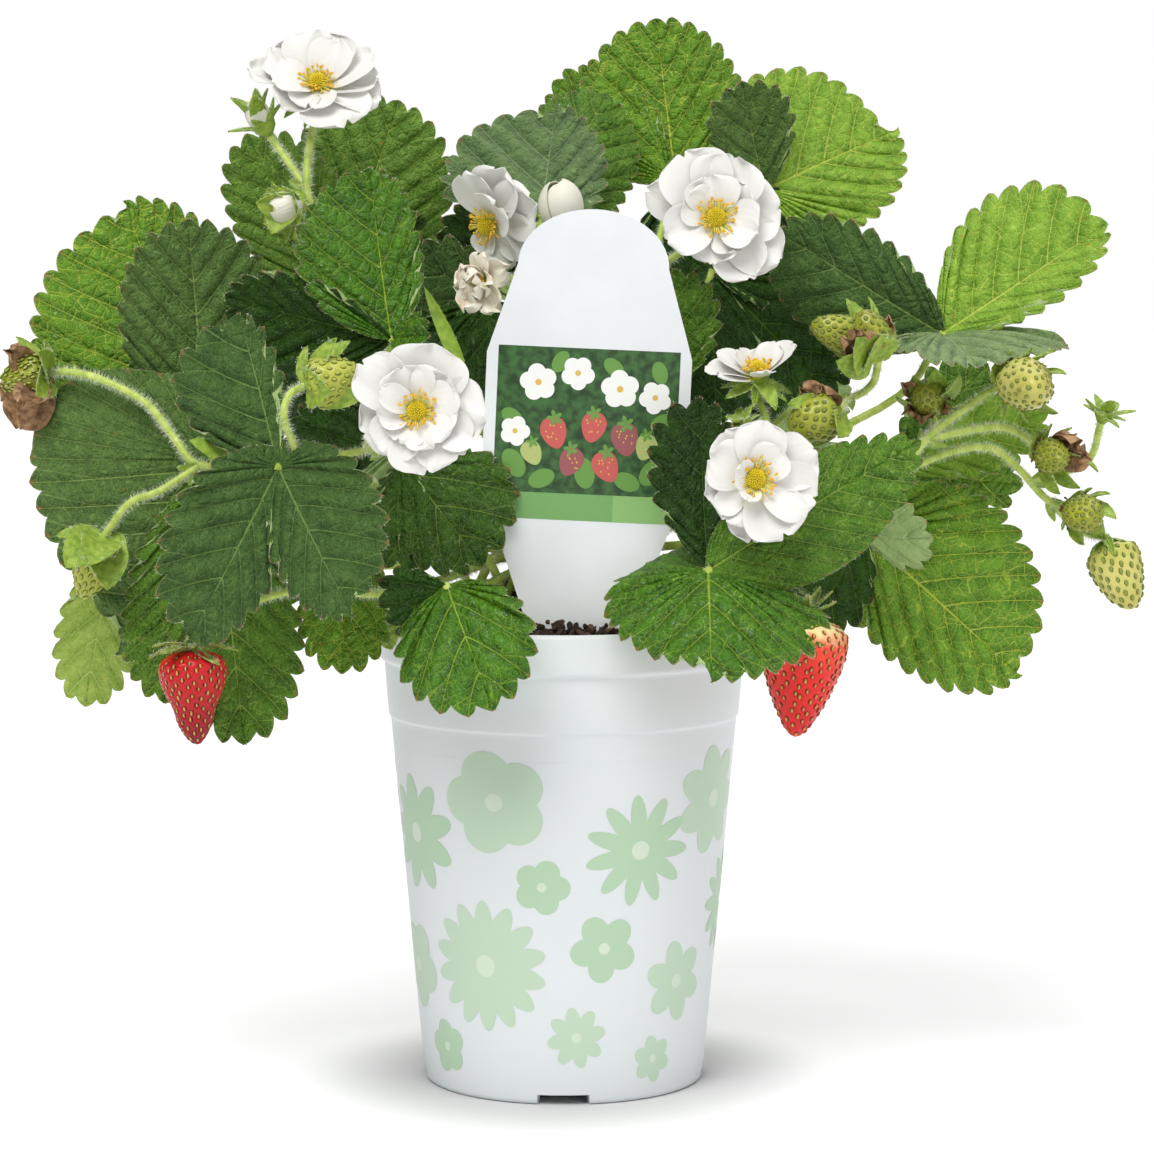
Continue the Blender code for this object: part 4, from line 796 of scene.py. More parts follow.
# ----------------------------------------------------------------------------------------- stems
def stem_starts():
    """Where each stem leaves the crown and the point it heads for first."""
    first = {name: seen(route[0]) for name, (route, _) in LEAVES.items()}
    first.update({name: seen(plan.places[0]) for name, plan in STALKS.items()})
    middle = np.array((0, 0, CROWN_TOP))

    def steepness(name):
        """How steeply a stem rises to its first place."""
        away = first[name] - middle
        return away[2] / math.hypot(away[0], away[1])

    def turn_of(name):
        """The way round the crown to a stem's first place."""
        return math.atan2(first[name][1], first[name][0])

    rising = sorted(first, key=steepness)
    share = math.ceil(len(rising) / STEM_RINGS)
    starts = {}
    for ring in range(STEM_RINGS):
        names = sorted(rising[ring * share:(ring + 1) * share], key=turn_of)
        height = STEM_RING_LOW + STEM_RING_RISE * ring
        radius = CROWN_RADIUS - STEM_RING_NARROWS * ring + STEM_START_GAP
        lean = STEM_LEAN_LOW + STEM_LEAN_RISE * ring
        for rank, name in enumerate(names):
            even = math.tau * (rank + 0.5) / len(names) - math.pi
            turn = turn_of(name) + (even - turn_of(name)) * STEM_FAN
            outward = np.array((math.cos(turn), math.sin(turn), 0.0))
            start = outward * radius + np.array((0, 0, height))
            ahead = outward * math.cos(lean) + np.array((0, 0, math.sin(lean)))
            root = start - outward * (STEM_START_GAP + 2.5 * MM) - np.array((0, 0, 2.0 * MM))
            starts[name] = [root, start, start + ahead * STEM_FIRST_REACH]
    return starts


def carried_end(name):
    """Where the stem under a flower, fruit or bud ends."""
    if name in FLOWERS:
        plan = FLOWERS[name]
        return seen(plan.centre) - unit(plan.faces) * (plan.cup * MM + STEM_END_GAP)
    plan = FRUITS.get(name) or BUDS[name]
    top = seen(plan.top)
    return top - unit(seen(plan.tip) - top) * STEM_END_GAP


def add_stem(piece, places, base, end, sheath, past_end, hair, share):
    """A hairy stem that tapers evenly, but for a sheath where it may clasp the crown; its route."""
    route = curve(places, STEM_STEPS)
    route = np.concatenate((route, [route[-1] + unit(route[-1] - route[-2]) * past_end]))
    along = run_along(route)
    radii = base + (end - base) * along / along[-1]
    radii = radii * (1 + (sheath - 1) * np.exp(-(along / SHEATH_REACH) ** 2))
    hairs_on_tube(piece, route, add_tube(piece, route, radii, "stem"), hair, share)
    return route


def make_leaf(name, route, leaflets, start):
    """A petiole with its three leaflets."""
    piece = Piece(name)
    places = start + [seen(place) for place in route]
    add_stem(piece, places, PETIOLE_RADIUS * 1.1, PETIOLE_RADIUS * 0.8, SHEATH_WIDER, 0.8 * MM, 1.3 * MM, 2.0)
    for plan in leaflets:
        add_leaflet(piece, places[-1], plan)
    piece.make("leaf_green", sharp=75)


def add_bract(piece, base, tip, width, look="sepal"):
    """A small pointed leaf on a stem, or a scale on the crown."""
    frame = rolled_frame(base, tip, piece.random.uniform(-40, 40))
    share, _ = blade_grid(9, 5)
    wide = outline(share, 0.45, 0.8) * width / 2
    add_blade(piece, base, frame, wide, -25, 18, 0 * share, look, 0.0, BRACT_THICK, 4, 0.1 * MM, 0.8 * MM)


def make_stalk(name, plan, start):
    """A hairy flower stalk with its branches, and a pair of small bracts at each fork."""
    piece = Piece(name)
    hair = (STEM_END_GAP, 1.6 * MM, 4.5)
    places = start + [seen(place) for place in plan.places] + [carried_end(plan.carries)]
    add_stem(piece, places, STALK_RADIUS, PEDICEL_RADIUS, SHEATH_WIDER, *hair)
    for carries, places in plan.branches:
        places = [seen(place) for place in places] + [carried_end(carries)]
        way = add_stem(piece, places, PEDICEL_RADIUS, PEDICEL_RADIUS, 1.0, *hair)
        fork = places[0]
        ahead = unit(way[3] - way[0])
        aside = unit(np.cross(ahead, unit(EYE - fork)))
        for turn in (-1, 1):
            add_bract(piece, fork, fork + ahead * 6 * MM + aside * turn * 3 * MM, 2.6 * MM)
    for base, tip, width in plan.bracts:
        add_bract(piece, seen(base), seen(tip), width * MM, "bract")
    piece.make("stem_green", sharp=75)


# ------------------------------------------------------------------- flowers, fruits and buds
def spokes(up, turns):
    """The directions square to up, at these turns round it in radians."""
    up = unit(up)
    level = np.cross((0, 0, 1.0), up)
    if np.linalg.norm(level) < 0.05:
        level = np.array((1.0, 0, 0))
    level = unit(level)
    turns = np.asarray(turns)[..., None]
    return np.cos(turns) * level + np.sin(turns) * np.cross(up, level)


def ball(rings, sides):
    """Points and faces of a unit ball with its poles on Z."""
    tilts = math.pi * np.arange(1, rings)[:, None] / rings
    body = turned(np.sin(tilts), even_turns(sides), np.cos(tilts)).reshape(-1, 3)
    points = np.concatenate((body, [[0, 0, 1.0], [0, 0, -1.0]]))
    quads = grid_faces(rings - 1, sides, around=True)[:, ::-1]
    top = fan(sides, 0, len(points) - 2)
    bottom = fan(sides, (rings - 2) * sides, len(points) - 1, True)
    return points, quads, np.concatenate((top, bottom))


def add_balls(piece, centres, ups, sizes, look, rings=4, sides=6, flat=None):
    """Many small ellipsoids: each has its centre, its long axis, and its (wide, long) size."""
    points, quads, caps = ball(rings, sides)
    centres = np.asarray(centres).reshape(-1, 3)
    ups = unit(np.asarray(ups).reshape(-1, 3))
    sizes = np.broadcast_to(sizes, (len(centres), 2))
    side = unit(np.cross(ups, np.array((0.37, 0.61, -0.7))))
    other = np.cross(ups, side)
    placed = (
        centres[:, None]
        + points[None, :, :1] * side[:, None] * sizes[:, None, :1]
        + points[None, :, 1:2] * other[:, None] * sizes[:, None, :1]
        + points[None, :, 2:] * ups[:, None] * sizes[:, None, 1:]
    )
    steps = np.arange(len(centres))[:, None, None] * len(points)
    maps = None if flat is None else np.repeat(flat, len(points), axis=0)
    piece.add(placed, (quads[None] + steps).reshape(-1, 4), look, flat=maps)
    piece.more_faces((caps[None] + steps).reshape(-1, 3), look)


def add_petal(piece, centre, out, up, size, lift, cup, ruffle, look, curl):
    """A broad rounded petal from the centre along out, of (length, width), lifted by lift radians."""
    random = piece.random
    length, width = size
    share, spread = blade_grid(15, 15)
    share = share ** 0.8
    wide = width / 2 * outline(np.clip(share, 0.012, 0.995), 0.62, 0.36)
    notch = 0.08 * np.exp(-((spread - random.uniform(-0.4, 0.4)) / 0.22) ** 2) * random.uniform(-0.2, 1.0)
    run = length * share * (1 - (0.05 * spread ** 4 + notch) * share ** 3)
    swing = random.uniform(0, math.tau, 3)
    folds = ruffle * (
        np.sin(4.2 * spread + swing[0]) * share ** 2
        + 0.45 * np.sin(8.5 * spread + 2 * share + swing[1]) * share ** 3
        + 0.4 * np.sin(5 * share + swing[2]) * spread
    )
    tilt = lift + curl * (share - 0.55)
    step = np.gradient(run, axis=0)
    rise = cup * width * spread ** 2 * np.sin(math.pi * share) + folds
    forward = np.cumsum(step * np.cos(tilt), axis=0) - step[:1] - rise * np.sin(tilt)
    height = np.cumsum(step * np.sin(tilt), axis=0) + rise * np.cos(tilt)
    across = np.cross(up, out)
    grid = centre + out * forward[..., None] + up * height[..., None] + across * (spread * wide)[..., None]
    marks = np.stack((spread, share), axis=-1)
    flat = np.stack((spread * width / MM / 2 + 40 * random.uniform(1, 9), share * length / MM), axis=-1)
    add_sheet(piece, grid, PETAL_THICK, look, look, marks, flat)


def add_sepals(piece, centre, up, size, lift, look="sepal", start=0.0, bends=(-40, 20), count=5):
    """A ring of pointed sepals of (length, width) below a flower or on top of a fruit."""
    random = piece.random
    share, spread = blade_grid(10, 7)
    for number in range(count):
        out = spokes(up, start + math.tau * (number + random.uniform(-0.12, 0.12)) / count)
        tilt = lift + random.uniform(-0.22, 0.22)
        reach = size[0] * random.uniform(0.85, 1.15)
        along = out * math.cos(tilt) + up * math.sin(tilt)
        _, _, across, face = blade_frame(0 * along, along, up)
        wide = outline(share, 0.4, 0.8) * size[1] / 2 * random.uniform(0.85, 1.15)
        ridge = SEPAL_RIDGE * np.cos(spread * 7)
        frame = (reach, along, across, face)
        bend = random.uniform(*bends)
        add_blade(piece, centre + out * 0.6 * MM, frame, wide, bend, 16, ridge, look, 20 * number)


def add_placed_sepals(piece, base, up, plans, look):
    """Sepals that reach from their base to given places, arched away from what they cover."""
    random = piece.random
    share, spread = blade_grid(11, 7)
    for *place, width in plans:
        frame = blade_frame(base, seen(place), unit(up + unit(EYE - base) * 0.9))
        wide = outline(share, 0.4, 0.75) * width * 0.9 * MM
        ridge = SEPAL_RIDGE * np.cos(spread * 7) + random.normal(0, 0.08 * MM, share.shape)
        bend = random.uniform(-55, -25)
        add_blade(piece, base, frame, wide, bend, 12, ridge, look, 20 * width, hairs=6, scatter=0.3 * MM)


def add_scraps(piece, base, plans):
    """Dry papery petals that reach from their base to given places."""
    random = piece.random
    for *place, width in plans:
        face = unit(unit(EYE - base) + random.normal(0, 0.25, 3))
        reach, along, _, face = blade_frame(base, seen(place), face)
        curl = random.uniform(0.2, 1.0)
        add_petal(piece, base, along, face, (reach, width * MM), 0.0, 0.2, 1.3 * MM, "scrap", curl)


def add_folded_petals(piece, centre, up, radius, half):
    """A bud's petals, each wrapped over the last around an egg-shaped middle."""
    random = piece.random
    share, spread = blade_grid(13, 13)
    for number in range(6):
        turn = math.tau * number * 0.382 + random.uniform(-0.2, 0.2)
        tilt = math.pi * (1 - 0.08 - random.uniform(0.86, 0.98) * 0.9 * share)
        around = turn + spread * 1.15 * (1 - 0.55 * share ** 3)
        swell = 1.03 + 0.035 * number + 0.06 * spread + 0.05 * share ** 4 + random.uniform(0, 0.02)
        grid = centre + spokes(up, around) * (np.sin(tilt) * swell * radius)[..., None]
        grid = grid + up * (np.cos(tilt) * swell * half)[..., None]
        marks = np.stack((spread, share), axis=-1)
        flat = np.stack((around * radius / MM + 30 * number, share * 2 * half / MM), axis=-1)
        add_sheet(piece, grid, FOLDED_PETAL_THICK, "petal_bud", "petal_bud", marks, flat)


def add_stamen(piece, base, bulge, end, head, size, thread, tip, *shape):
    """A thread from base to end, pushed aside by bulge, with a grain at its end."""
    add_tube(piece, curve([base, (base + end) / 2 + bulge, end], 2), 0.2 * MM, thread, sides=4)
    add_balls(piece, [end], [head], size, tip, *shape)


def add_heart(piece, centre, up, dome, stamens):
    """A flower's yellow middle: the domed receptacle with its styles, and the ring of stamens."""
    random = piece.random
    styles, widest = 120, 1.75
    index = np.arange(styles) + 0.5
    tilt = np.arccos(1 - index / styles * (1 - math.cos(widest)))[:, None]
    ways = np.sin(tilt) * spokes(up, GOLDEN_TURN * index) + np.cos(tilt) * up
    add_balls(piece, [centre], [up], (dome * 0.9, dome * 0.8), "receptacle", 8, 14)
    add_tube(piece, np.array([centre - up * 2.9 * MM, centre]), dome * 0.75, "receptacle", sides=14)
    add_balls(piece, centre + ways * dome * 0.95, ways, (0.26 * MM, 0.6 * MM), "style")
    for number in range(stamens):
        out = spokes(up, math.tau * (number + random.uniform(-0.35, 0.35)) / stamens)
        tilt = random.uniform(0.45, 1.2)
        long = dome * random.uniform(0.9, 1.9)
        base = centre + out * dome * 0.8 - up * 0.9 * MM
        end = base + (out * math.cos(tilt) + up * math.sin(tilt)) * long
        head = unit(random.normal(0, 0.8, 3) + up * 0.5 + out)
        add_stamen(piece, base, up * 0.4 * MM, end, head, (0.36 * MM, 0.6 * MM), "filament", "anther", 5, 7)


def make_flower(name, plan):
    """A white flower with its petals, its yellow middle and its sepals."""
    piece = Piece(name)
    random = piece.random
    up = unit(plan.faces)
    depth = plan.cup * MM * 0.5
    centre = seen(plan.centre) - up * depth
    old = plan.look == "petal_old"
    for number, (turn, length, width, lift) in enumerate(plan.petals):
        out = spokes(up, math.radians(turn))
        start = centre + up * 0.11 * MM * number + out * 1.8 * MM
        ruffle = 1.5 * MM if old else random.uniform(0.03, 0.075) * width * MM
        size = (length * MM - 0.8 * MM, width * MM * 1.08)
        slant = math.radians(lift * 0.8 + random.uniform(-3, 5))
        curl = random.uniform(-0.5, 0.55)
        add_petal(piece, start, out, up, size, slant, random.uniform(0.06, 0.2), ruffle, plan.look, curl)
    add_heart(piece, centre + up * 3.3 * MM, up, plan.heart * 0.9 * MM, 12 if old else 40)
    radius = plan.radius * MM * plan.sepals
    add_sepals(piece, centre - up * 0.8 * MM, up, (radius * 0.66, 5.0 * MM), -0.18)
    add_sepals(piece, centre - up * 1.2 * MM, up, (radius * 0.55, 2.6 * MM), -0.4, start=0.6)
    cone = np.array([centre - up * (depth + 0.6 * MM), centre - up * 1.2 * MM, centre + up * 0.6 * MM])
    add_tube(piece, cone, (1.1 * MM, 2.2 * MM, 2.6 * MM), "sepal", sides=12)
    piece.make("petal_white")


# Each kind of fruit: its skin, seeds, sepals, the number of seeds, their width and length in
# millimetres, how far they stand out of the skin, how deep the dimple round each one is, how much
# the berry narrows to its tip, how far each seed's dark rim of painted shade reaches round it, and its slot.
FRUIT_KINDS = {
    "red": ("skin_red", "seed_ruby", "sepal_ripe", 190, (0.42, 0.74), -0.12, 0.9, 0.42, 0.22, "ripe_red"),
    "blushed": ("skin_blushed", "seed_gold", "sepal_ripe", 250, (0.42, 0.74), 0, 0.5, 0.42, 0.22, "ripe_red"),
    "unripe": ("skin_unripe", "seed_green", "sepal", 95, (0.56, 0.9), -0.05, 0.35, 0.3, 0.13, "unripe_green"),
    "young": ("skin_young", "seed_dark", "sepal", 85, (0.54, 0.82), -0.1, 0.5, 0.12, 0.13, "unripe_green"),
    "white": ("skin_white", "seed_olive", "sepal", 105, (0.48, 0.85), 0.0, 0.2, 0.2, 0.13, "unripe_green"),
    "spent": ("skin_young", "seed_green", "sepal", 150, (0.34, 0.7), 0.3, -0.2, 0.2, 0.13, "dried_brown"),
}
DRY_STAMENS = 18


def add_berry(piece, base, down, length, radius, waist, kind):
    """A berry's skin and seeds, hanging from its base along down."""
    random = piece.random
    skin, seed, _, count, seed_size, stands, deep, narrows, rim, _ = FRUIT_KINDS[kind]
    rows, sides = 66, 84
    share = np.linspace(0, 1, rows) ** 0.9
    turns = even_turns(sides)
    swing = random.uniform(0, math.tau, 2)

    def profile(at):
        """The berry's radius at this share of its length, as a share of its greatest."""
        shoulder = np.sqrt(np.maximum(0, 1 - (1 - np.clip(at / 0.16, 0, 1)) ** 2))
        taper = np.clip((at - 0.22) / 0.78, 0, 1)
        body = np.sqrt(np.maximum(0, 1 - taper ** 2.2)) * (1 - narrows * taper)
        pinch = 1 - waist * np.exp(-((at - 0.62) / 0.15) ** 2)
        return shoulder * body * pinch * (0.92 + 0.08 * np.clip(at / 0.3, 0, 1))

    def skin_at(turn, at):
        """Points of the skin, and the directions out to them."""
        uneven = 1 + 0.04 * np.sin(2 * turn + swing[0] + 2 * at)
        uneven = uneven + 0.025 * np.sin(3 * turn + swing[1] - 3 * at)
        out = spokes(down, turn)
        return base + down * (at * length)[..., None] + out * (profile(at) * radius * uneven)[..., None], out

    grid, _ = skin_at(turns[None, :], share[:, None])
    index = np.arange(count) + 0.5
    lengthwise = np.linspace(0, 1, 200)
    area = np.cumsum(profile(lengthwise) + 0.12)
    at = np.interp(index / count, (area - area[0]) / (area[-1] - area[0]), lengthwise)
    turn = GOLDEN_TURN * index + random.normal(0, 0.05, count)
    at = np.clip(at + random.normal(0, 0.005, count), 0.05, 0.98)
    spots, around = skin_at(turn, at)
    points = grid.reshape(-1, 3)
    spacing = math.sqrt(math.tau * radius * 0.75 * length / count)
    gap = np.min(np.linalg.norm(points[:, None] - spots[None], axis=-1), axis=1)
    pit = np.exp(-(gap / (0.38 * spacing)) ** 2)
    normal = grid_normals(grid).reshape(-1, 3)
    normal = normal * np.sign((normal * (points - base - down * length * 0.45)).sum(axis=1).mean())
    marks = np.stack((pit, np.repeat(share, sides)), axis=-1)
    flat = np.stack((np.tile(turns, rows) * radius / MM, np.repeat(share, sides) * length / MM), axis=-1)
    dimpled = points - normal * (pit * deep * MM)[:, None]
    piece.add(dimpled, grid_faces(rows, sides, around=True)[:, ::-1], skin, marks, flat)
    slope = (profile(at + 0.01) - profile(at - 0.01)) * radius / (0.02 * length)
    ways = unit(around - down * np.clip(slope, -6, 6)[:, None])
    axis = unit(down - ways * (ways * down).sum(axis=1)[:, None])
    sizes = np.array(seed_size) * MM * random.uniform(0.85, 1.12, (count, 1))
    seats = spots + ways * (stands * MM - deep * MM * 0.6)
    # painted shade: a darker ball behind each seed shows as a dark rim, the shade of the pit it sits in
    add_balls(piece, seats - ways * 0.12 * MM, axis, sizes + rim * MM, seed + "_rim", 5, 8)
    add_balls(piece, seats + ways * 0.14 * MM, axis, sizes, seed, 5, 8)


def make_fruit(name, plan):
    """A berry, or two joined ones, with seeds under its calyx."""
    piece = Piece(name)
    random = piece.random
    top, tip = seen(plan.top), seen(plan.tip)
    down = unit(tip - top)
    base = top + down * 1.0 * MM
    radius = plan.radius * MM
    for start, end, thick in plan.lobes:
        start, end = seen(start), seen(end)
        long = np.linalg.norm(end - start)
        add_berry(piece, start, (end - start) / long, long, thick * MM, 0, plan.kind)
    if not plan.lobes:
        add_berry(piece, base, down, np.linalg.norm(tip - top) - 1.0 * MM, radius, plan.waist, plan.kind)
    sepal, slot = FRUIT_KINDS[plan.kind][2], FRUIT_KINDS[plan.kind][-1]
    above = base - down * 0.5 * MM
    if plan.sepals:
        add_placed_sepals(piece, above, -down, plan.sepals, sepal)
        add_scraps(piece, above, plan.scraps)
    else:
        calyx, wide = plan.calyx * MM, plan.wide * MM
        lift = plan.spread * math.pi / 2 - math.pi / 2
        bends = (-110, -75) if plan.spread < 0.8 else (-40, 20)
        size = (calyx * 0.85, wide * 0.6)
        add_sepals(piece, above, -down, (calyx, wide), lift, sepal, 0.0, bends)
        add_sepals(piece, above - down * 0.4 * MM, -down, size, lift + 0.15, sepal, 0.6, bends)
    add_balls(piece, [base - down * 0.2 * MM], [down], (2.4 * MM, 1.1 * MM), sepal, 6, 12)
    for number in range(DRY_STAMENS if plan.ring else 0):
        out = spokes(down, math.tau * (number + random.uniform(-0.3, 0.3)) / DRY_STAMENS)
        start = base + down * 0.6 * MM + out * 1.5 * MM
        end = start + out * radius * random.uniform(0.5, 0.85) + down * random.uniform(0.5, 3.0) * MM
        head, size = random.normal(0, 1, 3), (0.4 * MM, 0.7 * MM)
        add_stamen(piece, start, -down * 0.5 * MM, end, head, size, "dry_stamen", "dry_stamen")
    piece.make(slot)


# Each kind of bud: how steeply its sepals rise, and their length as a share of the bud's.
BUD_KINDS = {"white": (0.75, 1.0), "opening": (1.0, 0.95), "empty": (0.6, 0.85), "full": (0.45, 0.6)}


def make_bud(name, plan):
    """A bud: white petals still folded, or an empty calyx, inside hairy sepals."""
    piece = Piece(name)
    top, tip = seen(plan.top), seen(plan.tip)
    up = unit(tip - top)
    length = np.linalg.norm(tip - top)
    radius = plan.radius * MM
    cone = np.array([top - up * 1.0 * MM, top + up * length * 0.1, top + up * length * 0.28])
    add_tube(piece, cone, (1.1 * MM, radius * 0.6, radius * 0.7), "sepal", sides=14)
    if plan.kind == "empty":
        size = (radius * 0.5, length * 0.16)
        add_balls(piece, [top + up * length * 0.2], [up], size, "skin_young", 6, 10)
    else:
        shown = plan.full or (1.0 if plan.kind == "white" else 0.8)
        centre = top + up * length * 0.46
        half = length * min(0.40 * shown, 0.52)
        add_balls(piece, [centre], [up], (radius * 0.7 * shown, half * 0.95), "petal_bud", 12, 18)
        add_folded_petals(piece, centre, up, radius * 0.72 * shown, half)
    if plan.sepals:
        add_placed_sepals(piece, top + up * length * 0.2, up, plan.sepals, "sepal")
    tilt, long = BUD_KINDS["full" if plan.full else plan.kind]
    long = long * length
    add_sepals(piece, top + up * length * 0.12, up, (long, radius * 1.0), tilt)
    add_sepals(piece, top + up * length * 0.08, up, (long * 0.85, radius * 0.6), tilt - 0.4, start=0.6)
    piece.make("bud_green")


# ----------------------------------------------------------------------------- pot, soil, crown
def wall_radius(height):
    """The pot's outer radius at a height: tapered to the fill line, then nearly straight."""
    line = POT_HEIGHT - STEP_DOWN
    band = POT_HEIGHT - RIM_BAND
    lower = FOOT_RADIUS + (STEP_RADIUS - STEP_WIDTH - FOOT_RADIUS) * height / line
    upper = STEP_RADIUS + (UNDER_RIM_RADIUS - STEP_RADIUS) * (height - line) / (band - line)
    return np.where(height < line, lower, np.minimum(upper, UNDER_RIM_RADIUS))


def add_print(piece, place, middle, wide, high, turn, lift, look, rings=3, sides=26, power=1.0):
    """An oval of print on a surface: place(x, z, lift) gives its points, middle is in metres."""
    spread = np.linspace(0, 1, rings + 1)[1:]
    turns = even_turns(sides)
    x = spread[:, None] * np.cos(turns) * wide
    z = spread[:, None] * np.sin(turns) * high
    x = x * (1 - (1 - power) * np.clip(z / high, -1, 1))
    across = middle[0] + x * math.cos(turn) - z * math.sin(turn)
    upward = middle[1] + x * math.sin(turn) + z * math.cos(turn)
    grid = place(across.ravel(), upward.ravel(), lift)
    centre = place(np.array(middle[:1]), np.array(middle[1:]), lift)
    piece.add(np.concatenate((grid, centre)), grid_faces(rings, sides, around=True)[:, ::-1], look)
    piece.more_faces(fan(sides, 0, len(grid)), look)


def pot_place(x, z, lift):
    """A point on the pot's outside: x is the distance round it from the front, z its height."""
    return turned(wall_radius(z) + lift, x / PRINT_RADIUS - math.pi / 2, z)


def floor_place(x, y, lift):
    """A point under the pot's floor."""
    return np.stack((x, y, FLOOR_LIFT - lift + 0 * x), axis=-1)


def add_blossom(piece, place, middle, size, petals, turn, lift, look, slim=0.5, heart=None):
    """A printed blossom: ovals round a middle."""
    for number in range(petals):
        way = turn + math.tau * number / petals
        at = (middle[0] - math.sin(way) * size * 0.55, middle[1] + math.cos(way) * size * 0.55)
        add_print(piece, place, at, size * slim * 0.5, size * 0.46, way, lift + number * PRINT_STEP, look)
    if heart:
        add_print(piece, place, middle, size * 0.17, size * 0.17, 0, lift + PRINT_HEART_LIFT, heart)


# The pot's printed blossoms: the place of each round the pot from the front, its height and its
# size in millimetres, its number of petals, its turn in radians and how broad its petals are.
POT_BLOSSOMS = (
    (-19, 88, 15, 5, 0.3, 0.95), (22, 74, 16, 11, 0.1, 0.30), (-24, 40, 19, 14, 0.0, 0.34),
    (12, 46, 10, 5, 0.5, 0.80), (38, 34, 12, 6, 0.2, 0.62), (-6, 64, 8, 5, 0.9, 0.9),
    (50, 86, 16, 7, 0.2, 0.6), (-50, 76, 17, 9, 0.1, 0.42), (-58, 36, 13, 5, 0.7, 0.9),
    (66, 54, 15, 12, 0.0, 0.3), (84, 84, 12, 5, 0.3, 0.92), (96, 36, 17, 8, 0.5, 0.5),
    (-82, 88, 13, 6, 0.1, 0.7), (-92, 52, 18, 13, 0.2, 0.33), (118, 70, 16, 5, 0.2, 0.9),
    (-120, 82, 15, 11, 0.0, 0.34), (-124, 36, 13, 6, 0.3, 0.66), (138, 38, 14, 9, 0.4, 0.42),
    (4, 20, 9, 8, 0.2, 0.5), (-42, 14, 8, 5, 0.2, 0.9), (30, 12, 7, 6, 0.2, 0.7),
)


def pot_profile():
    """The radii and heights of the pot's outline: its floor, foot, wall, step, rim and inside."""
    line, band, top = POT_HEIGHT - STEP_DOWN, POT_HEIGHT - RIM_BAND, POT_HEIGHT
    inner = FOOT_RADIUS - FOOT_RING

    def wall(height, more=0.0):
        """A place on the outer wall."""
        return float(wall_radius(height + more * MM)), 0, height, more

    # each a radius and the millimetres added to it, then a height and the millimetres added to it
    corners = [
        (0, 0, FLOOR_LIFT, 0), (0, 10, FLOOR_LIFT, 0), (0, 22, FLOOR_LIFT, 0), (inner, -0.4, FLOOR_LIFT, 0),
        (inner, 0, FLOOR_LIFT, -0.4), (inner, 0, 0, 0.3), (inner, 0.3, 0, 0), (FOOT_RADIUS, -1.6, 0, 0),
        (FOOT_RADIUS, -0.7, 0, 0.25), (FOOT_RADIUS, -0.2, 0, 0.8), (FOOT_RADIUS, 0, 0, 1.6),
        (FOOT_RADIUS, 0.15, 0, 3.0), wall(0, 6),
        *(wall(height) for height in np.linspace(14 * MM, line - 2 * MM, 9)),
        wall(line, -0.5), (STEP_RADIUS - STEP_WIDTH * 0.8, 0, line, -0.1), (STEP_RADIUS, -0.1, line, 0.25),
        (STEP_RADIUS, 0, line, 0.7), wall(line, 6), wall(band, -1.2), (UNDER_RIM_RADIUS, 0, band, -0.3),
        (UNDER_RIM_RADIUS, 0.2, band, 0), (RIM_RADIUS, -0.5, band, 0.2), (RIM_RADIUS, -0.1, band, 0.6),
        (RIM_RADIUS, 0, band, 1.4), (RIM_RADIUS, 0, top, -1.6), (RIM_RADIUS, -0.15, top, -0.8),
        (RIM_RADIUS, -0.6, top, -0.2), (RIM_RADIUS, -1.1, top, 0), (RIM_RADIUS, -1.5, top, -0.15),
        (RIM_RADIUS, -1.8, top, -0.7), (RIM_RADIUS, -2.0, band, 0),
        (UNDER_RIM_RADIUS - POT_WALL, 0, band, -1), (STEP_RADIUS - POT_WALL, 0, line, 0),
        (STEP_RADIUS - POT_WALL, 0, line, -8),
    ]
    return np.array([(radius + out * MM, height + up * MM) for radius, out, height, up in corners]).T


def make_pot():
    """The nursery pot with its notches and its pale printed blossoms."""
    piece = Piece("pot")
    radii, heights = pot_profile()
    gap = math.asin(NOTCH_WIDTH / 2 / FOOT_RADIUS)
    turns = list(even_turns(POT_TURNS))
    for middle in even_turns(NOTCHES):
        for edge in (-gap, gap):
            turns += [(middle + edge - 0.003) % math.tau, (middle + edge + 0.003) % math.tau]
    turns = np.array(sorted(turns))
    between = math.tau / NOTCHES
    notched = np.abs((turns + between / 2) % between - between / 2) < gap
    z = np.repeat(heights[:, None], len(turns), 1)
    foot = (radii > FOOT_RADIUS - FOOT_RING - 0.1 * MM)[:, None] & (z < NOTCH_HEIGHT)
    z = np.where(foot & notched[None, :], NOTCH_HEIGHT, z)
    grid = turned(radii[:, None], turns, z)
    flat = np.stack(np.broadcast_arrays(turns * PRINT_RADIUS / MM, z / MM), axis=-1)
    piece.add(grid, grid_faces(len(radii), len(turns), around=True), "pot", flat=flat)
    for number, (x, height, size, petals, turn, slim) in enumerate(POT_BLOSSOMS):
        look = "print_pale" if number % 2 else "print_soft"
        middle = (x * MM, height * MM)
        add_blossom(piece, pot_place, middle, size * MM, petals, turn, PRINT_LIFT, look, slim, "print_heart")
    for turn in even_turns(DRAINS) + math.pi / DRAINS:
        middle = (DRAIN_CIRCLE * math.cos(turn), DRAIN_CIRCLE * math.sin(turn))
        add_print(piece, floor_place, middle, DRAIN_RADIUS, DRAIN_RADIUS, 0, PRINT_LIFT, "soil")
    piece.make("pot_white", sharp=40)


def soil_height(radius):
    """The heaped soil's height at this distance from the pot's axis."""
    return SOIL_EDGE + SOIL_HEAP * (1 - (radius / RIM_RADIUS) ** 2)


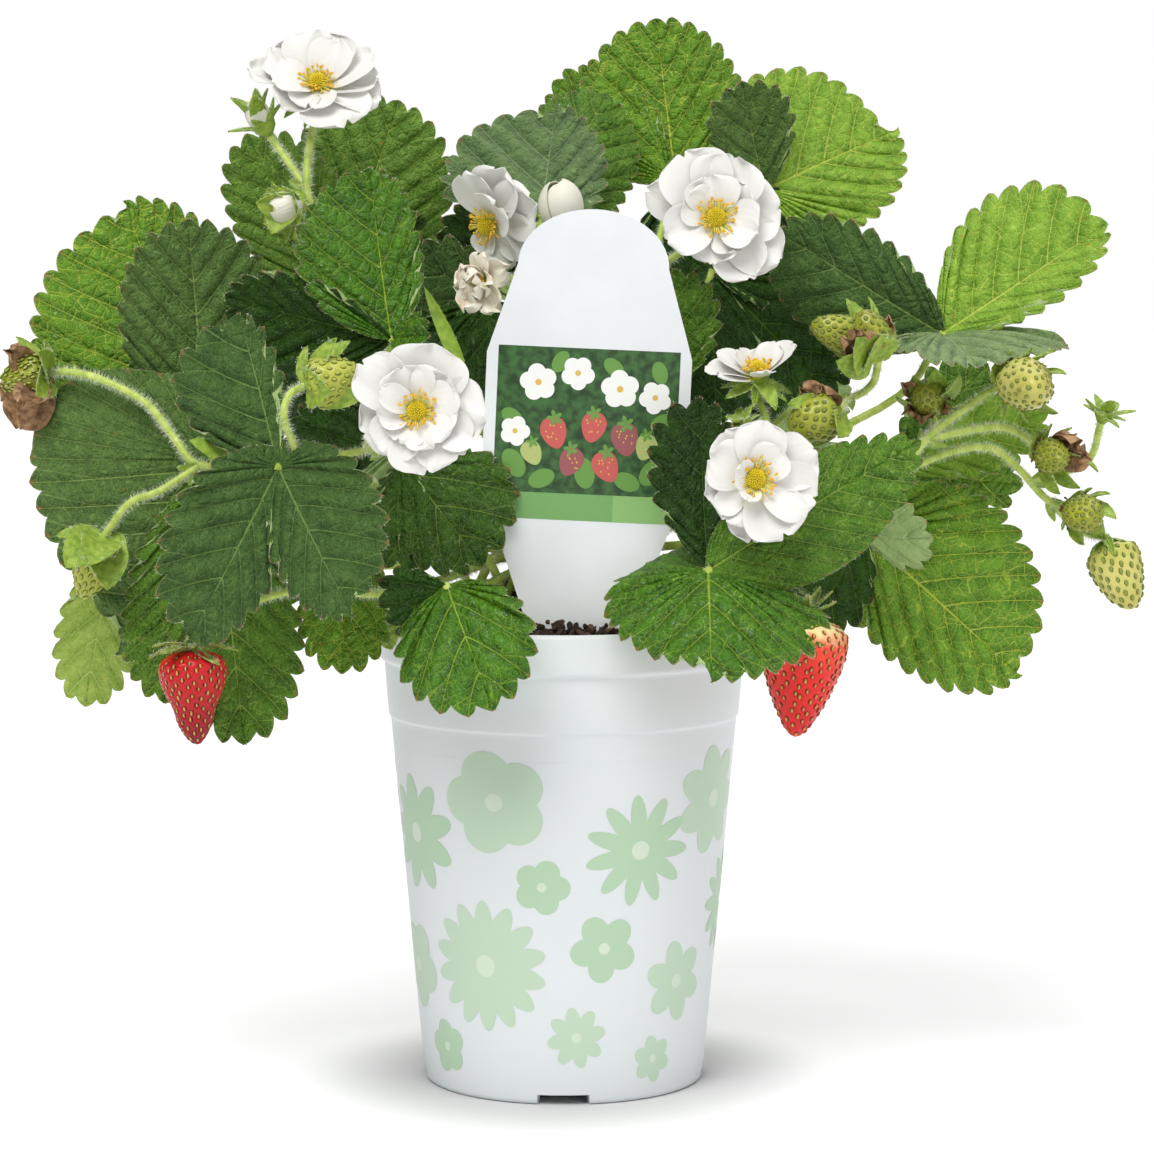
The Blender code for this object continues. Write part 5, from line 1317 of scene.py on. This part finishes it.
def make_soil():
    """Heaped potting mix: an uneven surface covered in bark crumbs and white perlite."""
    piece = Piece("soil", 71)
    random = piece.random
    radii = np.array((*np.linspace(0.2 * MM, SOIL_RADIUS, 34), SOIL_RADIUS, SOIL_RADIUS - 2 * MM))[:, None]
    turns = even_turns(110)
    z = soil_height(radii) + random.normal(0, 0.5 * MM, (len(radii), len(turns)))
    z[-2:] = POT_HEIGHT - 20 * MM
    grid = turned(radii, turns, z + np.sin(5 * turns + 3) * np.sin(radii * 260) * 0.8 * MM)
    flat = grid[..., :2] / MM
    piece.add(grid, grid_faces(len(radii), len(turns), around=True), "soil", flat=flat)
    for look, count, small, large in (
        ("soil", 2600, 0.5, 1.9), ("bark", 900, 0.6, 2.4), ("perlite", 150, 0.5, 1.3),
    ):
        radius = np.sqrt(random.uniform(0, 1, count)) * (SOIL_RADIUS - 1.5 * MM)
        turn = random.uniform(0, math.tau, count)
        size = random.uniform(small, large, count) * MM
        centre = turned(radius, turn, soil_height(radius) + size * 0.25)
        ways = random.normal(0, 1, (count, 3))
        sizes = np.stack((size * random.uniform(0.35, 0.7, count), size), axis=-1)
        flat = np.stack((centre[:, 0], size), axis=-1) / MM
        add_balls(piece, centre, ways, sizes, look, 4, 5, flat)
    piece.make("potting_soil", sharp=30)


def make_crown():
    """The woody crown, ringed with the brown scales of old leaf bases."""
    piece = Piece("crown", 5)
    heights = np.linspace(CROWN_BOTTOM, CROWN_TOP, 22)[:, None]
    share = (heights - CROWN_BOTTOM) / (CROWN_TOP - CROWN_BOTTOM)
    turns = even_turns(40)
    radii = CROWN_RADIUS + (CROWN_TIP_RADIUS - CROWN_RADIUS) * share ** 2
    radii = radii * (1 + 0.05 * np.sin(9 * turns + 11 * share)) * np.sqrt(1.001 - share ** 6)
    flat = np.stack(np.broadcast_arrays(turns * 10, heights / MM), axis=-1)
    grid = turned(radii, turns, heights)
    piece.add(grid, grid_faces(len(heights), len(turns), around=True), "crown", flat=flat)
    for number in range(CROWN_SCALES):
        turn = 2.4 * number
        out = np.array((math.cos(turn), math.sin(turn), 0.0))
        base = out * 8.0 * MM + np.array((0, 0, (142 + 17 * number / CROWN_SCALES) * MM))
        tip = base + out * 3.2 * MM + np.array((0, 0, 7.5 * MM))
        add_bract(piece, base, tip, 6.0 * MM, "scale")
    piece.make("crown_brown")


# ------------------------------------------------------------------------------------------- tag
TAG_ARCH = TAG_TOP - TAG_ARCH_RISE
# Heights above the soil's edge where the tag's outline turns, and its half widths there.
TAG_KNOTS = (-TAG_BURIED, 0.0, TAG_SHOULDER - TAG_CHAMFER, TAG_SHOULDER, TAG_CORNER, TAG_ARCH)
TAG_HALVES = np.array((
    TAG_POINT_WIDTH, TAG_STAKE_WIDTH, TAG_WIDTH - 2 * TAG_CHAMFER, TAG_WIDTH, TAG_WIDTH, TAG_ARCH_WIDTH,
)) / 2


def tag_place(x, z, lift):
    """A point of the tag's front, x right of its middle line and z above the soil's edge."""
    bow = TAG_BOW * (1 - (x / (TAG_WIDTH / 2)) ** 2)
    local = np.stack((x, -lift - TAG_THICK / 2 - bow + TAG_BOW * 0.5, z), axis=-1)
    tip_back = np.array(Matrix.Rotation(TAG_TURN, 3, "Y") @ Matrix.Rotation(-TAG_LEAN, 3, "X"))
    return seen(TAG_FOOT) + local @ tip_back.T


def add_panel(piece, low, high, lift, look, rows=8, columns=14):
    """A printed oblong on the tag, from its low corner to its high one."""
    x, z = np.meshgrid(np.linspace(low[0], high[0], columns), np.linspace(low[1], high[1], rows))
    points = tag_place(x.ravel() * MM, z.ravel() * MM, lift)
    piece.add(points, grid_faces(rows, columns), look, flat=np.stack((x, z), axis=-1))


# The tag's print, in millimetres from its middle line and above the soil's edge: leaves and
# blossoms (place, size, turn in radians), and berries, each with its look too.
TAG_LEAVES = (
    (-20, 47, 8, 0.6), (-12, 43, 7, 2.0), (19, 46, 8, -0.7), (12, 43, 7, 1.2), (-21, 60, 6, 1.0),
    (21, 60, 6, -1.0), (0, 45, 8, 0.2), (7, 75, 6, 0.9), (-8, 76, 6, -0.5), (20, 74, 6, 0.3),
)
TAG_BLOSSOMS = (
    (-14, 70, 6.4, 0.2), (-3, 73, 5.8, 0.7), (9, 69, 6.6, 0.1), (19, 67, 5.6, 0.5), (-20, 56, 5.2, 0.9),
)
TAG_BERRIES = (
    (-9, 56, 4.6, 0.3, "print_red"), (2, 58, 4.4, -0.2, "print_red"), (11, 55, 4.8, 0.2, "print_crimson"),
    (-4, 48, 4.2, -0.4, "print_crimson"), (6, 47, 4.6, 0.5, "print_red"), (17, 53, 3.8, -0.3, "print_lime"),
    (-15, 50, 3.6, 0.5, "print_lime"),
)


def make_tag():
    """The plant tag: a bare white label with a printed panel of berries and blossoms."""
    piece = Piece("tag", 12)
    steps = [np.linspace(low, high, count)[1:]
             for low, high, count in zip(TAG_KNOTS, TAG_KNOTS[1:], (6, 6, 5, 10, 7))]
    arch = np.sin(np.linspace(0, math.pi / 2, 14)[1:])
    heights = np.concatenate(([-TAG_BURIED], *steps, TAG_TOP - TAG_ARCH_RISE * (1 - arch)))
    risen = np.clip((heights - TAG_ARCH) / TAG_ARCH_RISE, 0, 1)
    half = np.maximum(np.interp(heights, TAG_KNOTS, TAG_HALVES) * np.sqrt(1 - risen ** 2), 0.05 * MM)
    x = half[:, None] * np.linspace(-1, 1, 21)
    z = np.repeat(heights[:, None], 21, 1)
    middle = tag_place(x, z, -TAG_THICK / 2)
    add_sheet(piece, middle, TAG_THICK, "tag", flat=np.stack((x / MM, z / MM), axis=-1))
    band, low, high, right = 31.5, 39.0, 80.0, 25.6
    add_panel(piece, (-right, band), (right, low), INK_LIFT, "band_dark")
    add_panel(piece, (34 - right, band), (right, low), INK_LIFT * 1.5, "band_light")
    add_panel(piece, (-right, low + 0.01), (right, high), INK_LIFT, "panel_leaf", 20, 24)

    def ink(x, z, wide, high, turn, layer, look, **how):
        """An oval in one of the layers of ink."""
        middle = (x * MM, z * MM)
        add_print(piece, tag_place, middle, wide * MM, high * MM, turn, INK_LIFT * layer, look, **how)

    def blossom(x, z, size, turn, layer, look, slim, heart=None):
        """A blossom in one of the layers of ink."""
        middle = (x * MM, z * MM)
        add_blossom(piece, tag_place, middle, size * MM, 5, turn, INK_LIFT * layer, look, slim, heart)

    for x, z, size, turn in TAG_LEAVES:
        ink(x, z, size * 0.36, size * 0.55, turn, 2, "panel_light")
    for x, z, size, turn in TAG_BLOSSOMS:
        blossom(x, z, size * 0.82, turn, 3, "print_white", 0.95, "print_gold")
    for x, z, size, turn, look in TAG_BERRIES:
        ink(x, z, size * 0.78, size, turn + math.pi, 4, look, power=0.75)
        for _ in range(9):
            aside, up = piece.random.uniform(-0.5, 0.5, 2) * size
            ink(x + aside, z + up, 0.22, 0.32, 0, 5, "print_gold", rings=1, sides=6)
        blossom(x, z + size * 0.9, size * 0.5, 0.3, 5, "panel_light", 0.5)
    piece.make("tag_white", sharp=40)


# ------------------------------------------------------------------------------------- materials
def colour(code):
    """A colour from its sRGB hexadecimal code."""
    parts = [int(code[place:place + 2], 16) / 255 for place in (1, 3, 5)]
    linear = (part / 12.92 if part <= 0.04045 else ((part + 0.055) / 1.055) ** 2.4 for part in parts)
    return (*linear, 1.0)


class Shader:
    """A node tree with short names for the nodes used here."""

    def __init__(self, tree):
        self.tree = tree

    def put(self, socket, value):
        """Links a node's output to a socket, or sets a plain value."""
        if isinstance(value, bpy.types.NodeSocket):
            self.tree.links.new(value, socket)
        else:
            socket.default_value = value

    def node(self, kind, inputs, **settings):
        """A new node of a kind, with its inputs and its settings."""
        node = self.tree.nodes.new("ShaderNode" + kind)
        for name, value in settings.items():
            setattr(node, name, value)
        for socket, value in inputs.items():
            self.put(node.inputs[socket], value)
        return node

    def map(self, name):
        """The coordinates of one of the mesh's two maps."""
        return self.node("UVMap", {}, uv_map=name).outputs[0]

    def split(self, vector):
        """A vector's X and Y."""
        return self.node("SeparateXYZ", {0: vector}).outputs[:2]

    def math(self, kind, first, second=0.0, clamp=False):
        """One sum."""
        return self.node("Math", {0: first, 1: second}, operation=kind, use_clamp=clamp).outputs[0]

    def times(self, first, second):
        """A product."""
        return self.math("MULTIPLY", first, second)

    def off_whole(self, value):
        """How far a number is from the nearest whole one."""
        rest = self.math("FRACT", self.math("ADD", value, 0.5))
        return self.math("ABSOLUTE", self.math("SUBTRACT", rest, 0.5))

    def step(self, value, low, high, out_low=0.0, out_high=1.0):
        """Runs smoothly from out_low to out_high as the value goes from low to high."""
        inputs = dict(enumerate((value, low, high, out_low, out_high)))
        return self.node("MapRange", inputs, interpolation_type="SMOOTHSTEP").outputs[0]

    def noise(self, vector, scale, detail=3.0, rough=0.55):
        """Smooth noise from 0 to 1."""
        inputs = {"Vector": vector, "Scale": scale, "Detail": detail, "Roughness": rough}
        return self.node("TexNoise", inputs).outputs[0]

    def cells(self, vector, scale, feature="DISTANCE_TO_EDGE"):
        """The distance to the edge, or to the middle, of small uneven cells."""
        node = self.node("TexVoronoi", {}, feature=feature)
        self.put(node.inputs["Vector"], vector)
        self.put(node.inputs["Scale"], scale)
        return node.outputs["Distance"]

    def mix(self, share, one, other):
        """Two colours mixed by share."""
        return self.node("Mix", {0: share, 6: one, 7: other}, data_type="RGBA").outputs[2]

    def bump(self, height, strength, distance):
        """A normal that follows small heights, in metres."""
        return self.node("Bump", {"Height": height, "Strength": strength, "Distance": distance}).outputs[0]


class Finish(Shader):
    """A material's node tree."""

    def __init__(self, name):
        self.made = bpy.data.materials.new(name)
        self.made.use_nodes = True
        super().__init__(self.made.node_tree)

    def finish(self, base, rough, normal=None, **plain):
        """Wires the surface, with plain numbers set on its own sockets."""
        sockets = self.tree.nodes["Principled BSDF"].inputs
        self.put(sockets["Base Color"], base)
        self.put(sockets["Roughness"], rough)
        if normal is not None:
            self.put(sockets["Normal"], normal)
        for name, value in plain.items():
            sockets[name.replace("_", " ")].default_value = value
        return self.made


# Each leaf look: its dark and light green and its veins' colour, how strong the large veins and
# the coarse and fine net are, roughness, gloss, bumps, brown specks and sheen.
LEAF_LOOKS = {
    "bright": ("#346a12", "#6b9e26", "#b9cb4c", 0.8, 0.6, 0.3, 0.40, 0.30, 0.9, 0.4, 0.0),
    # painted light: backlit is a brighter yellow-green that stands in for light shining through the leaflets
    # from behind
    "backlit": ("#4f8019", "#90ba40", "#c3d45c", 0.75, 0.5, 0.3, 0.48, 0.22, 0.7, 0.7, 0.0),
    "glossy": ("#1d4c07", "#457e0c", "#98b838", 0.75, 0.4, 0.25, 0.32, 0.4, 0.9, 0.0, 0.0),
    "mid": ("#235009", "#56861e", "#9cb84c", 0.7, 0.35, 0.4, 0.44, 0.28, 0.9, 0.3, 0.0),
    "speckled": ("#366411", "#70983a", "#a9c255", 0.65, 0.35, 0.35, 0.46, 0.25, 0.9, 0.9, 0.0),
    "soft": ("#2a4d15", "#587a38", "#98b25c", 0.65, 0.25, 0.35, 0.52, 0.24, 0.9, 0.3, 0.06),
    "deep": ("#1d3f08", "#3e6a18", "#86a640", 0.7, 0.3, 0.3, 0.34, 0.36, 1.0, 0.0, 0.0),
    # dark and black: deep greens that stand partly for the leaves' own colour and partly for painted shade on
    # leaflets deep among the others
    "dark": ("#122c05", "#2b520f", "#5f8a30", 0.6, 0.25, 0.35, 0.36, 0.26, 1.0, 0.0, 0.0),
    "black": ("#112808", "#284814", "#587a30", 0.5, 0.2, 0.25, 0.38, 0.2, 1.0, 0.0, 0.0),
    "grey": ("#224313", "#48692d", "#86a455", 0.6, 0.2, 0.25, 0.5, 0.24, 0.9, 0.0, 0.06),
    "fuzzy": ("#36562a", "#6d8b50", "#a0b878", 0.5, 0.2, 0.25, 0.66, 0.25, 0.9, 0.0, 0.25),
    # painted light: a lighter copy of the fuzzy look for a leaflet that catches more light
    "dusty": ("#4e6e38", "#90aa6c", "#b6ca8c", 0.5, 0.2, 0.25, 0.66, 0.25, 0.9, 0.0, 0.25),
    "pale": ("#76962e", "#a4bc58", "#c9d87e", 0.6, 0.35, 0.3, 0.6, 0.22, 0.7, 0.5, 0.0),
    "under": ("#7f9d5c", "#a2ba78", "#c2d298", 0.7, 0.3, 0.15, 0.7, 0.22, 0.4, 0.0, 0.15),
}


def leaf_material(name, dark, light, vein_code, veins, net, fine, roughness, gloss, bump, specks, sheen):
    """A leaf blade: lighter veins in a net, small bulges between them, a soft sheen, and painted shade in the
    creases along the lateral veins.
    """
    s = Finish(name)
    out, phase = s.split(s.map("marks"))
    flat = s.map("flat")
    out = s.math("ABSOLUTE", out)
    gap = s.off_whole(phase)
    thin = s.math("SUBTRACT", 0.052, s.times(out, 0.026))
    lateral = s.math("SUBTRACT", 1.0, s.step(s.math("DIVIDE", gap, thin), 0.35, 1.0), True)
    fork = s.off_whole(s.math("ADD", phase, s.times(s.step(out, 0.5, 1.0), 0.42)))
    forked = s.math("SUBTRACT", 1.0, s.step(s.math("DIVIDE", fork, 0.024), 0.35, 1.0), True)
    forked = s.times(forked, s.step(out, 0.48, 0.56))
    lateral = s.math("MAXIMUM", lateral, s.times(forked, 0.7))
    midrib = s.step(out, 0.030, 0.010)
    net_edge, fine_edge = s.cells(flat, 0.30), s.cells(flat, 1.05)
    nets = s.times(s.step(net_edge, 0.042, 0.014), net)
    nets = s.math("ADD", nets, s.times(s.step(fine_edge, 0.11, 0.03), fine))
    vein = s.math("MAXIMUM", s.math("MAXIMUM", midrib, s.times(lateral, 0.9)), nets, True)
    blotch = s.noise(flat, 0.16, 4.0)
    grain = s.noise(flat, 1.5, 2.0)
    # painted shade: the blade is darker in the creases along the lateral veins and lighter on the pleats'
    # crests between them
    between = s.times(s.step(gap, 0.03, 0.4), 0.35)
    tone = s.math("ADD", s.times(s.step(blotch, 0.34, 0.66), 0.5), between)
    tone = s.math("ADD", tone, s.times(s.step(grain, 0.35, 0.65), 0.15), True)
    base = s.mix(tone, colour(dark), colour(light))
    base = s.mix(s.times(vein, veins), base, colour(vein_code))
    base = s.mix(s.times(s.step(out, 0.985, 1.0), 0.4), base, colour("#a9a878"))
    tip = s.times(s.step(out, 0.93, 1.0), s.step(gap, 0.12, 0.04))
    base = s.mix(s.times(tip, 0.6), base, colour("#9a7048"))
    speck = s.step(s.cells(flat, 0.17, "F1"), 0.11, 0.05)
    base = s.mix(s.times(speck, specks), base, colour("#a8842c"))
    height = s.math("SUBTRACT", s.times(s.step(net_edge, 0.0, 0.3), 0.8), s.times(vein, 0.6))
    height = s.math("ADD", height, s.times(s.step(fine_edge, 0.0, 0.3), 0.25))
    rough = s.math("ADD", roughness - 0.06, s.times(blotch, 0.16))
    return s.finish(base, rough, s.bump(height, bump, 0.7 * MM), Sheen_Weight=sheen, Sheen_Roughness=0.4,
                    Specular_IOR_Level=gloss)


def plain_material(name, dark, light, rough, scale, bump, deep):
    """A soft two-tone surface with small uneven bumps, deep in millimetres."""
    s = Finish(name)
    flat = s.map("flat")
    base = s.mix(s.step(s.noise(flat, scale, 4.0), 0.3, 0.7), colour(dark), colour(light))
    return s.finish(base, rough, s.bump(s.noise(flat, scale * 5, 3.0), bump, deep * MM))


def skin_material(name, stops, rough, coat, pit_shade_code, pit_shade_share):
    """A berry's skin, whose colour runs from its calyx to its tip and darkens with painted shade in its
    dimples.
    """
    s = Finish(name)
    pit, share = s.split(s.map("marks"))
    flat = s.map("flat")
    uneven = s.times(s.math("SUBTRACT", s.noise(flat, 0.35, 3.0), 0.5), 0.22)
    at = s.math("ADD", share, uneven)
    base = colour(stops[0][1])
    for (low, _), (high, code) in zip(stops, stops[1:]):
        base = s.mix(s.step(at, low, high), base, colour(code))
    # painted shade: the skin darkens in the dimples round the seeds
    base = s.mix(s.times(s.step(pit, 0.35, 0.95), pit_shade_share), base, colour(pit_shade_code))
    normal = s.bump(s.noise(flat, 2.5, 2.0), 0.12, 0.1 * MM)
    return s.finish(base, rough, normal, Coat_Weight=coat, Coat_Roughness=0.08, Specular_IOR_Level=0.3)


def petal_material(name, main, base_code, edge_code, edge_share):
    """A petal: fine veins along it, yellowish at its base, and aged towards its edge."""
    s = Finish(name)
    spread, share = s.split(s.map("marks"))
    flat = s.map("flat")
    base = s.mix(s.step(share, 0.02, 0.30), colour(base_code), colour(main))
    old = s.times(s.step(s.noise(flat, 0.22, 4.0), 0.45, 0.75), edge_share)
    base = s.mix(s.times(old, s.step(share, 0.3, 1.0)), base, colour(edge_code))
    lines = s.times(s.math("SINE", s.times(spread, 26.0)), 0.35)
    height = s.math("ADD", lines, s.noise(flat, 0.6, 3.0))
    return s.finish(base, 0.55, s.bump(height, 0.25, 0.2 * MM), Sheen_Weight=0.15)


def pot_material(name, dark, light):
    """White moulded plastic, faintly uneven."""
    s = Finish(name)
    flat = s.map("flat")
    noise = s.noise(flat, 0.02, 2.0)
    rough = s.math("ADD", 0.34, s.times(noise, 0.1))
    normal = s.bump(s.noise(flat, 0.6, 3.0), 0.05, 0.1 * MM)
    return s.finish(s.mix(noise, colour(dark), colour(light)), rough, normal)


def print_material(name, code):
    """Ink on plastic."""
    s = Finish(name)
    noise = s.noise(s.map("flat"), 3.0, 2.0)
    return s.finish(s.mix(s.times(noise, 0.2), colour(code), colour("#e0e6e0")), 0.4)


# Dark and light colour, roughness, the scale of the unevenness, bump strength and depth.
PLAIN_LOOKS = {
    "stem": ("#a4be46", "#cbdc70", 0.5, 0.3, 0.15, 0.2),
    "hair": ("#e6ead6", "#f4f6ea", 0.6, 1.0, 0.0, 0.1),
    "bract": ("#7ba02c", "#a8c24a", 0.5, 0.3, 0.3, 0.2),
    "sepal": ("#76982c", "#a6bc48", 0.55, 0.5, 0.5, 0.3),
    "sepal_ripe": ("#6d8f33", "#a9ae55", 0.65, 0.5, 0.4, 0.2),
    "scale": ("#6e4a26", "#a47f49", 0.8, 0.6, 0.5, 0.3),
    "crown": ("#4a3117", "#7d5c2f", 0.85, 0.5, 0.6, 0.5),
    "soil": ("#1c120c", "#38261a", 0.95, 0.5, 0.8, 0.6),
    "bark": ("#33211a", "#5c4230", 0.9, 0.8, 0.7, 0.5),
    "perlite": ("#cfcabf", "#efece4", 0.9, 1.0, 0.5, 0.4),
    "tag": ("#e0e3e5", "#e6e9eb", 0.36, 0.04, 0.04, 0.1),
    "panel_leaf": ("#1f3a1c", "#3f6b35", 0.4, 0.35, 0.0, 0.1),
    "panel_light": ("#4f8034", "#7aa850", 0.4, 0.6, 0.0, 0.1),
    "receptacle": ("#b9b01c", "#d6c92e", 0.6, 1.0, 0.4, 0.2),
    "style": ("#d9c21a", "#eedb34", 0.5, 1.5, 0.2, 0.1),
    "filament": ("#d8d45c", "#ece88e", 0.5, 1.5, 0.0, 0.1),
    "anther": ("#d99a14", "#f2c62a", 0.55, 0.7, 0.3, 0.1),
    "dry_stamen": ("#4a3018", "#7c5a30", 0.8, 1.0, 0.4, 0.2),
    "scrap": ("#6c4c32", "#bd966c", 0.85, 0.4, 0.8, 0.6),
    # Each seed's _rim colour is painted shade in the pit round it.
    "seed_ruby": ("#b57f28", "#dcb254", 0.3, 1.0, 0.0, 0.1),
    "seed_ruby_rim": ("#480910", "#661018", 0.4, 1.0, 0.0, 0.1),
    "seed_gold": ("#b2862c", "#d4b04c", 0.3, 1.0, 0.0, 0.1),
    "seed_gold_rim": ("#7c1810", "#942416", 0.4, 1.0, 0.0, 0.1),
    "seed_green": ("#98a238", "#bcc158", 0.35, 1.0, 0.0, 0.1),
    "seed_green_rim": ("#46550f", "#5d6b1a", 0.5, 1.0, 0.0, 0.1),
    "seed_dark": ("#66731c", "#8b9634", 0.35, 1.0, 0.0, 0.1),
    "seed_dark_rim": ("#333f0a", "#475412", 0.5, 1.0, 0.0, 0.1),
    "seed_olive": ("#76802c", "#969e40", 0.35, 1.0, 0.0, 0.1),
    "seed_olive_rim": ("#49550f", "#616c1c", 0.5, 1.0, 0.0, 0.1),
}
PRINT_LOOKS = {
    "band_dark": "#5f9d3e", "band_light": "#7db356", "print_white": "#f2f2ee", "print_gold": "#dcae2e",
    "print_red": "#c22c24", "print_crimson": "#8e1f2a", "print_lime": "#a3b55a", "print_pale": "#a9c9a6",
    "print_soft": "#b7d0b4", "print_heart": "#cbdcc4",
}
# Colour, the base's colour, the aged colour and how much of it shows.
PETAL_LOOKS = {
    "petal": ("#e6e5e0", "#dfdc8c", "#dccfa8", 0.10),
    "petal_bud": ("#ece9da", "#dfe0a8", "#d8c9a0", 0.4),
    "petal_old": ("#f4eedd", "#e3d48e", "#c9944c", 0.55),
}
# Colours at shares of the berry's length, roughness, coat, the painted shade's colour in the dimples and its
# share.
SKIN_LOOKS = {
    "skin_red": (((0.0, "#cf1a1e"), (0.4, "#c0111a"), (1.0, "#8c0b1b")), 0.36, 0.15, "#54070e", 1.0),
    "skin_blushed": (
        ((0.06, "#e9dc9e"), (0.26, "#f0401f"), (0.5, "#e61c12"), (1.0, "#d2100e")), 0.32, 0.2, "#a01010", 0.6,
    ),
    "skin_unripe": (((0.0, "#a5b03a"), (0.6, "#bdc152"), (1.0, "#a5ac3c")), 0.34, 0.35, "#7f8c24", 0.8),
    "skin_young": (((0.0, "#8d9828"), (0.6, "#a5a93a"), (1.0, "#8d9228")), 0.34, 0.35, "#5a6716", 0.9),
    "skin_white": (((0.0, "#b4b552"), (0.5, "#cdc773"), (1.0, "#c1bb5e")), 0.38, 0.25, "#a3ac4c", 0.5),
}
MAKERS = (
    (plain_material, PLAIN_LOOKS),
    (petal_material, PETAL_LOOKS),
    (skin_material, SKIN_LOOKS),
    (leaf_material, {"leaf_" + name: look for name, look in LEAF_LOOKS.items()}),
    (print_material, {name: (code,) for name, code in PRINT_LOOKS.items()}),
    (pot_material, {"pot": ("#d8dddf", "#dee2e4")}),
)


def material(name):
    """The material of this look, made when it is first asked for."""
    if name in bpy.data.materials:
        return bpy.data.materials[name]
    return next(maker(name, *looks[name]) for maker, looks in MAKERS if name in looks)


# ----------------------------------------------------------------------------- light and camera
def staged(name, make_shape, finish, **shape_options):
    """A piece of the studio: the floor or the backdrop."""
    shape = bmesh.new()
    make_shape(shape, **shape_options)
    mesh = bpy.data.meshes.new(name)
    shape.to_mesh(mesh)
    shape.free()
    mesh.materials.append(finish.made)
    made = bpy.data.objects.new(name, mesh)
    bpy.context.scene.collection.objects.link(made)
    return made


def sun(name, direction, strength, spread):
    """An even soft light from one side."""
    data = bpy.data.lights.new(name, "SUN")
    data.energy = strength
    data.angle = math.radians(spread)
    made = bpy.data.objects.new(name, data)
    made.rotation_euler = Vector(direction).to_track_quat("Z", "Y").to_euler()
    bpy.context.scene.collection.objects.link(made)


def make_stage():
    """A plain white floor, which glows away from the pot so that a painted contact shadow rings its foot, and
    backdrop under soft studio light.
    """
    s = Finish("floor")
    away = s.node("VectorMath", {0: s.node("TexCoord", {}).outputs["Object"]}, operation="LENGTH")
    # painted contact shadow: the floor's glow fades to nothing near the pot's foot, so the floor round and
    # under the pot stays darker
    glow = s.step(away.outputs["Value"], FOOT_RADIUS, FOOT_RADIUS + 45 * MM, 0.0, 0.42)
    s.finish((0.62, 0.62, 0.62, 1), 0.9, Emission_Color=(1, 1, 1, 1))
    s.put(s.tree.nodes["Principled BSDF"].inputs["Emission Strength"], glow)
    staged("floor", bmesh.ops.create_circle, s, cap_ends=True, segments=64, radius=STUDIO)

    s = Finish("backdrop")
    light = s.node("Emission", {"Strength": 1.0})
    s.put(s.tree.nodes["Material Output"].inputs["Surface"], light.outputs[0])
    backdrop = staged("backdrop", bmesh.ops.create_uvsphere, s, u_segments=64, v_segments=32, radius=STUDIO)
    for ray in ("diffuse", "glossy", "transmission", "shadow", "volume_scatter"):
        setattr(backdrop, "visible_" + ray, False)

    world = bpy.data.worlds.new("studio")
    world.use_nodes = True
    s = Shader(world.node_tree)
    direction = s.node("TexCoord", {}).outputs["Generated"]
    look_up = s.node("VectorMath", {0: direction, 1: (0.0, 0.4, 0.75)}, operation="DOT_PRODUCT")
    s.put(s.tree.nodes["Background"].inputs[1], s.step(look_up.outputs["Value"], -0.6, 0.9, 0.42, 1.45))
    bpy.context.scene.world = world
    sun("key", (-0.5, -1.0, 1.5), 2.5, 38)
    sun("fill", (1.0, -0.9, 0.9), 1.3, 100)
    sun("back", (0.2, 1.0, 1.3), 1.2, 60)
    bpy.context.scene.view_settings.view_transform = "Standard"


def make_camera():
    """The camera that the photograph was taken with."""
    data = bpy.data.cameras.new("camera")
    data.sensor_width = SENSOR
    data.lens = EYE_FOCAL / FRAME_SIDE * SENSOR
    data.clip_end = 50
    made = bpy.data.objects.new("camera", data)
    made.location = tuple(EYE)
    made.rotation_euler = (math.pi / 2 - EYE_TILT, 0, 0)
    bpy.context.scene.collection.objects.link(made)
    bpy.context.scene.camera = made


def main():
    """Builds every piece in its place."""
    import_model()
    make_pot()
    make_soil()
    make_crown()
    make_tag()
    starts = stem_starts()
    for name, (route, leaflets) in LEAVES.items():
        make_leaf(name, route, leaflets, starts[name])
    for name, plan in STALKS.items():
        make_stalk(name, plan, starts[name])
    for make, plans in ((make_flower, FLOWERS), (make_fruit, FRUITS), (make_bud, BUDS)):
        for name, plan in plans.items():
            make(name, plan)
    make_stage()
    make_camera()
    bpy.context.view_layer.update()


main()
